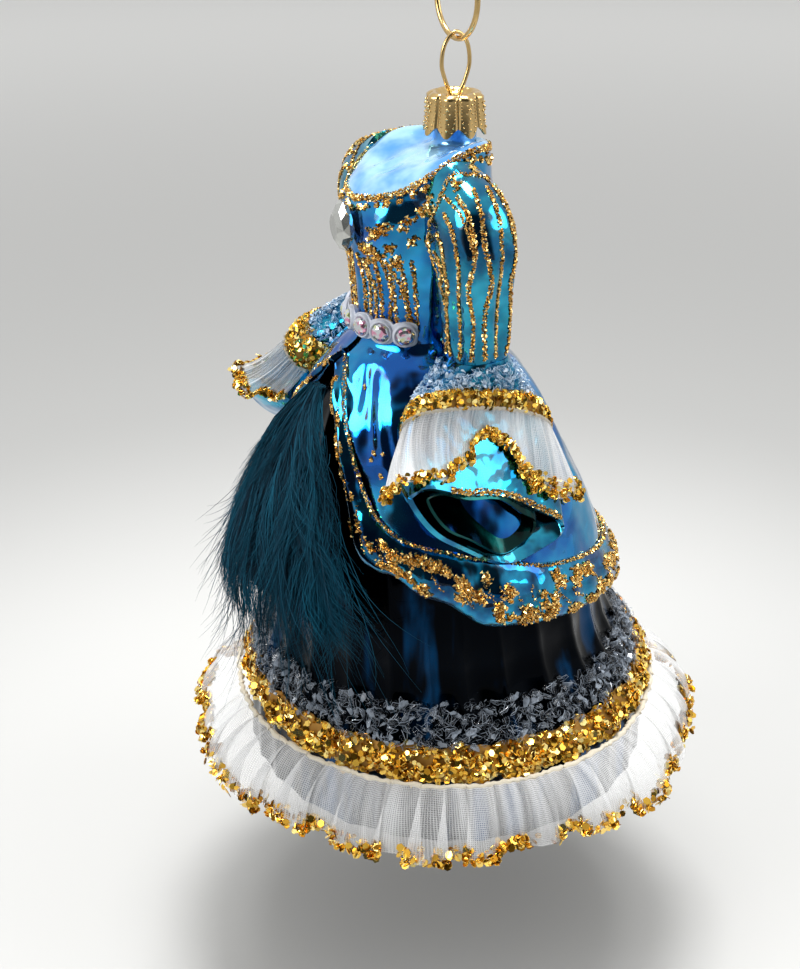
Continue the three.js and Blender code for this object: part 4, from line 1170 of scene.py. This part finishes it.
# Thin three-sided barbs, each tapering from its root to its tip, with radii in mm.
def barbMesh(name, strands):
    points, faces, tones = [], [], []
    for path, radius, tone in strands:
        start = len(points)
        last = len(path) - 1
        for k, spot in enumerate(path):
            way = (path[min(k + 1, last)] - path[max(k - 1, 0)]).normalized()
            side = way.cross(Vector((0.3, 0.2, 1))).normalized()
            up = way.cross(side)
            thin = (radius + (plume["tip"] - radius) * (k / last) ** 1.4) * mm
            for n in range(3):
                a = n / 3 * tau
                points.append(spot + side * (thin * math.cos(a)) + up * (thin * math.sin(a)))
        for k in range(last):
            for n in range(3):
                a, b = start + 3 * k + n, start + 3 * k + (n + 1) % 3
                faces.append((a, b, b + 3, a + 3))
                tones.append(tone)
        end = start + 3 * last
        faces += [(start + 2, start + 1, start), (end, end + 1, end + 2)]
        tones += [tone, tone]
    return tonedPiece(name, [tuple(p) for p in points], faces, tones)


strands = []
for _ in range(plume["clumps"]):
    v0 = dice.uniform(-0.02, 0.62)
    u0 = 0.48 + 0.37 * math.sin(dice.uniform(-1, 1) * math.pi / 2)
    share = dice.uniform(0.3, 1)
    length = dice.choice((dice.uniform(0.14, 0.3), dice.uniform(0.26, 0.5)))
    drift = (u0 - 0.5) * dice.uniform(-0.3, 0.3) + dice.uniform(-0.1, 0.08)
    lift = dice.uniform(0.05, 0.55)
    tone = dice.choice((dice.uniform(0, 0.3), dice.uniform(0.2, 0.6), dice.uniform(0.6, 1)))
    curl = dice.uniform(-0.06, 0.06)
    for _ in range(plume["perClump"]):
        du, dv, dOut = dice.gauss(0, 0.028), dice.uniform(-0.06, 0.06), dice.uniform(-0.8, 0.8)
        reach = length * dice.uniform(0.6, 1.2)
        close = dice.uniform(0.2, 1.1)
        path = []
        for k in range(plume["steps"] + 1):
            s = k / plume["steps"]
            u = u0 + du * (1 - 0.9 * s * close) + drift * s ** 1.4 + curl * math.sin(4 * s)
            u = min(max(u, -0.1), 1.1)
            v = v0 + dv + reach * s
            depth = plumeDepth(min(max(u, 0.03), 0.97), max(v, 0))
            out = depth * (share + lift * s ** 1.5) + dOut * (1 - s) + 0.5 * math.sin(3 * s + du * 60)
            path.append(place(*plumeSurface(u, max(v, 0.0), max(out, 0.2))))
        root = dice.uniform(0.6, 1.15) * plume["root"]
        strands.append((path, root, min(max(tone + dice.uniform(-0.25, 0.25), 0), 1)))
for _ in range(plume["loose"]):
    u0, v0 = dice.choice((dice.uniform(-0.04, 0.2), dice.uniform(0.2, 0.95))), dice.uniform(0.2, 0.85)
    reach, flare = dice.uniform(0.2, 0.55), dice.uniform(0, 1.1)
    bend = dice.uniform(-0.1, 0.16)
    path = []
    for k in range(plume["looseSteps"] + 1):
        s = k / plume["looseSteps"]
        u = u0 + (u0 - 0.45) * 0.35 * s ** 1.5 + bend * s ** 2
        v = v0 + reach * s
        out = plumeDepth(min(max(u, 0.03), 0.97), v) * (0.5 + 0.4 * flare) + flare * 10 * s ** 1.6
        path.append(place(*plumeSurface(u, v, out)))
    strands.append((path, plume["looseRoot"], dice.uniform(0, 0.7)))
keep(barbMesh("plumeBarbs", strands), "feather", "feather")
print("plume made,", len(strands), "barbs")


# Pale floor with a painted shadow and a painted fall of light, soft panels and a bright tent that is dark on
# the side one looks from.
# The paper right below the gown has a painted shadow tone; near, middle and far paint how the light falls off
# further out.
studio = {"floor": -250, "size": 8, "shadowUnder": 0.3, "near": 0.5, "middle": 0.35, "far": 0.84, "tent": 0.8,
          "dark": 0.03, "aim": -90}


def paperTone(zone):
    return studio[zone], studio[zone], studio[zone] * 0.98


# Paper that changes tone with its distance in m from the line the gown hangs on: a painted shadow right under
# the gown, then darker paper and, far off, brighter paper that paint how the light falls off over floor and
# backdrop.
def floorFinish():
    finish, tree, shader = newFinish("floorPaper", Roughness=0.6, Specular_IOR_Level=0.2)
    flat = addNode(tree, "ShaderNodeVectorMath", {0: objectSpace(tree)}, operation="MULTIPLY")
    flat.inputs[1].default_value = (1, 1, 0)
    reach = addNode(tree, "ShaderNodeVectorMath", {0: flat.outputs["Vector"]}, operation="LENGTH")
    reach = reach.outputs["Value"]
    # Painted shadow right below the gown fading into the near paper, then painted fall of light: darker paper
    # further out, brighter paper far off.
    close = mixColours(tree, ramp(tree, reach, 0.01, 0.1), paperTone("shadowUnder"), paperTone("near"))
    close = mixColours(tree, ramp(tree, reach, 0.14, 0.36), close, paperTone("middle"))
    paint(tree, shader, ramp(tree, reach, 0.4, 1.6), close, paperTone("far"))
    return finish


deselect()
bpy.ops.mesh.primitive_plane_add(size=studio["size"])
floor = bpy.context.active_object
floor.name = "floor"
for vertex in floor.data.vertices:
    vertex.co.z = studio["floor"] * mm
floor.data.materials.append(floorFinish())


# A round lamp: azimuth in degrees, height, distance and size in m, power in W.
def addPanel(name, azimuth, height, distance, size, power):
    a = math.radians(azimuth)
    data = bpy.data.lights.new(name, "AREA")
    data.shape, data.size, data.energy = "DISK", size, power
    lamp = bpy.data.objects.new(name, data)
    bpy.context.scene.collection.objects.link(lamp)
    lamp.location = (distance * math.sin(a), -distance * math.cos(a), height)
    toward = Vector((0, 0, studio["aim"] * mm)) - lamp.location
    lamp.rotation_euler = toward.to_track_quat("-Z", "Y").to_euler()


addPanel("topPanel", 235, 0.7, 0.12, 0.3, 9.0)
addPanel("keyPanel", 5, 0.28, 0.6, 0.4, 2.8)
addPanel("fillPanel", 140, 0.25, 0.6, 0.45, 1.8)


def tentWorld():
    world = bpy.data.worlds.new("tent")
    bpy.context.scene.world = world
    world.use_nodes = True
    tree = world.node_tree
    where = addNode(tree, "ShaderNodeTexCoord").outputs["Generated"]
    facing = addNode(tree, "ShaderNodeVectorMath", {0: where}, operation="DOT_PRODUCT")
    facing.inputs[1].default_value = tuple(towards * 0.95 + Vector((0, 0, 0.3)))
    amount = ramp(tree, facing.outputs["Value"], 0.55, 0.82)
    light, dark = (studio["tent"],) * 3, (studio["dark"], studio["dark"] * 1.2, studio["dark"] * 1.3)
    tree.links.new(mixColours(tree, amount, light, dark), tree.nodes["Background"].inputs["Color"])


tentWorld()
print("studio made")
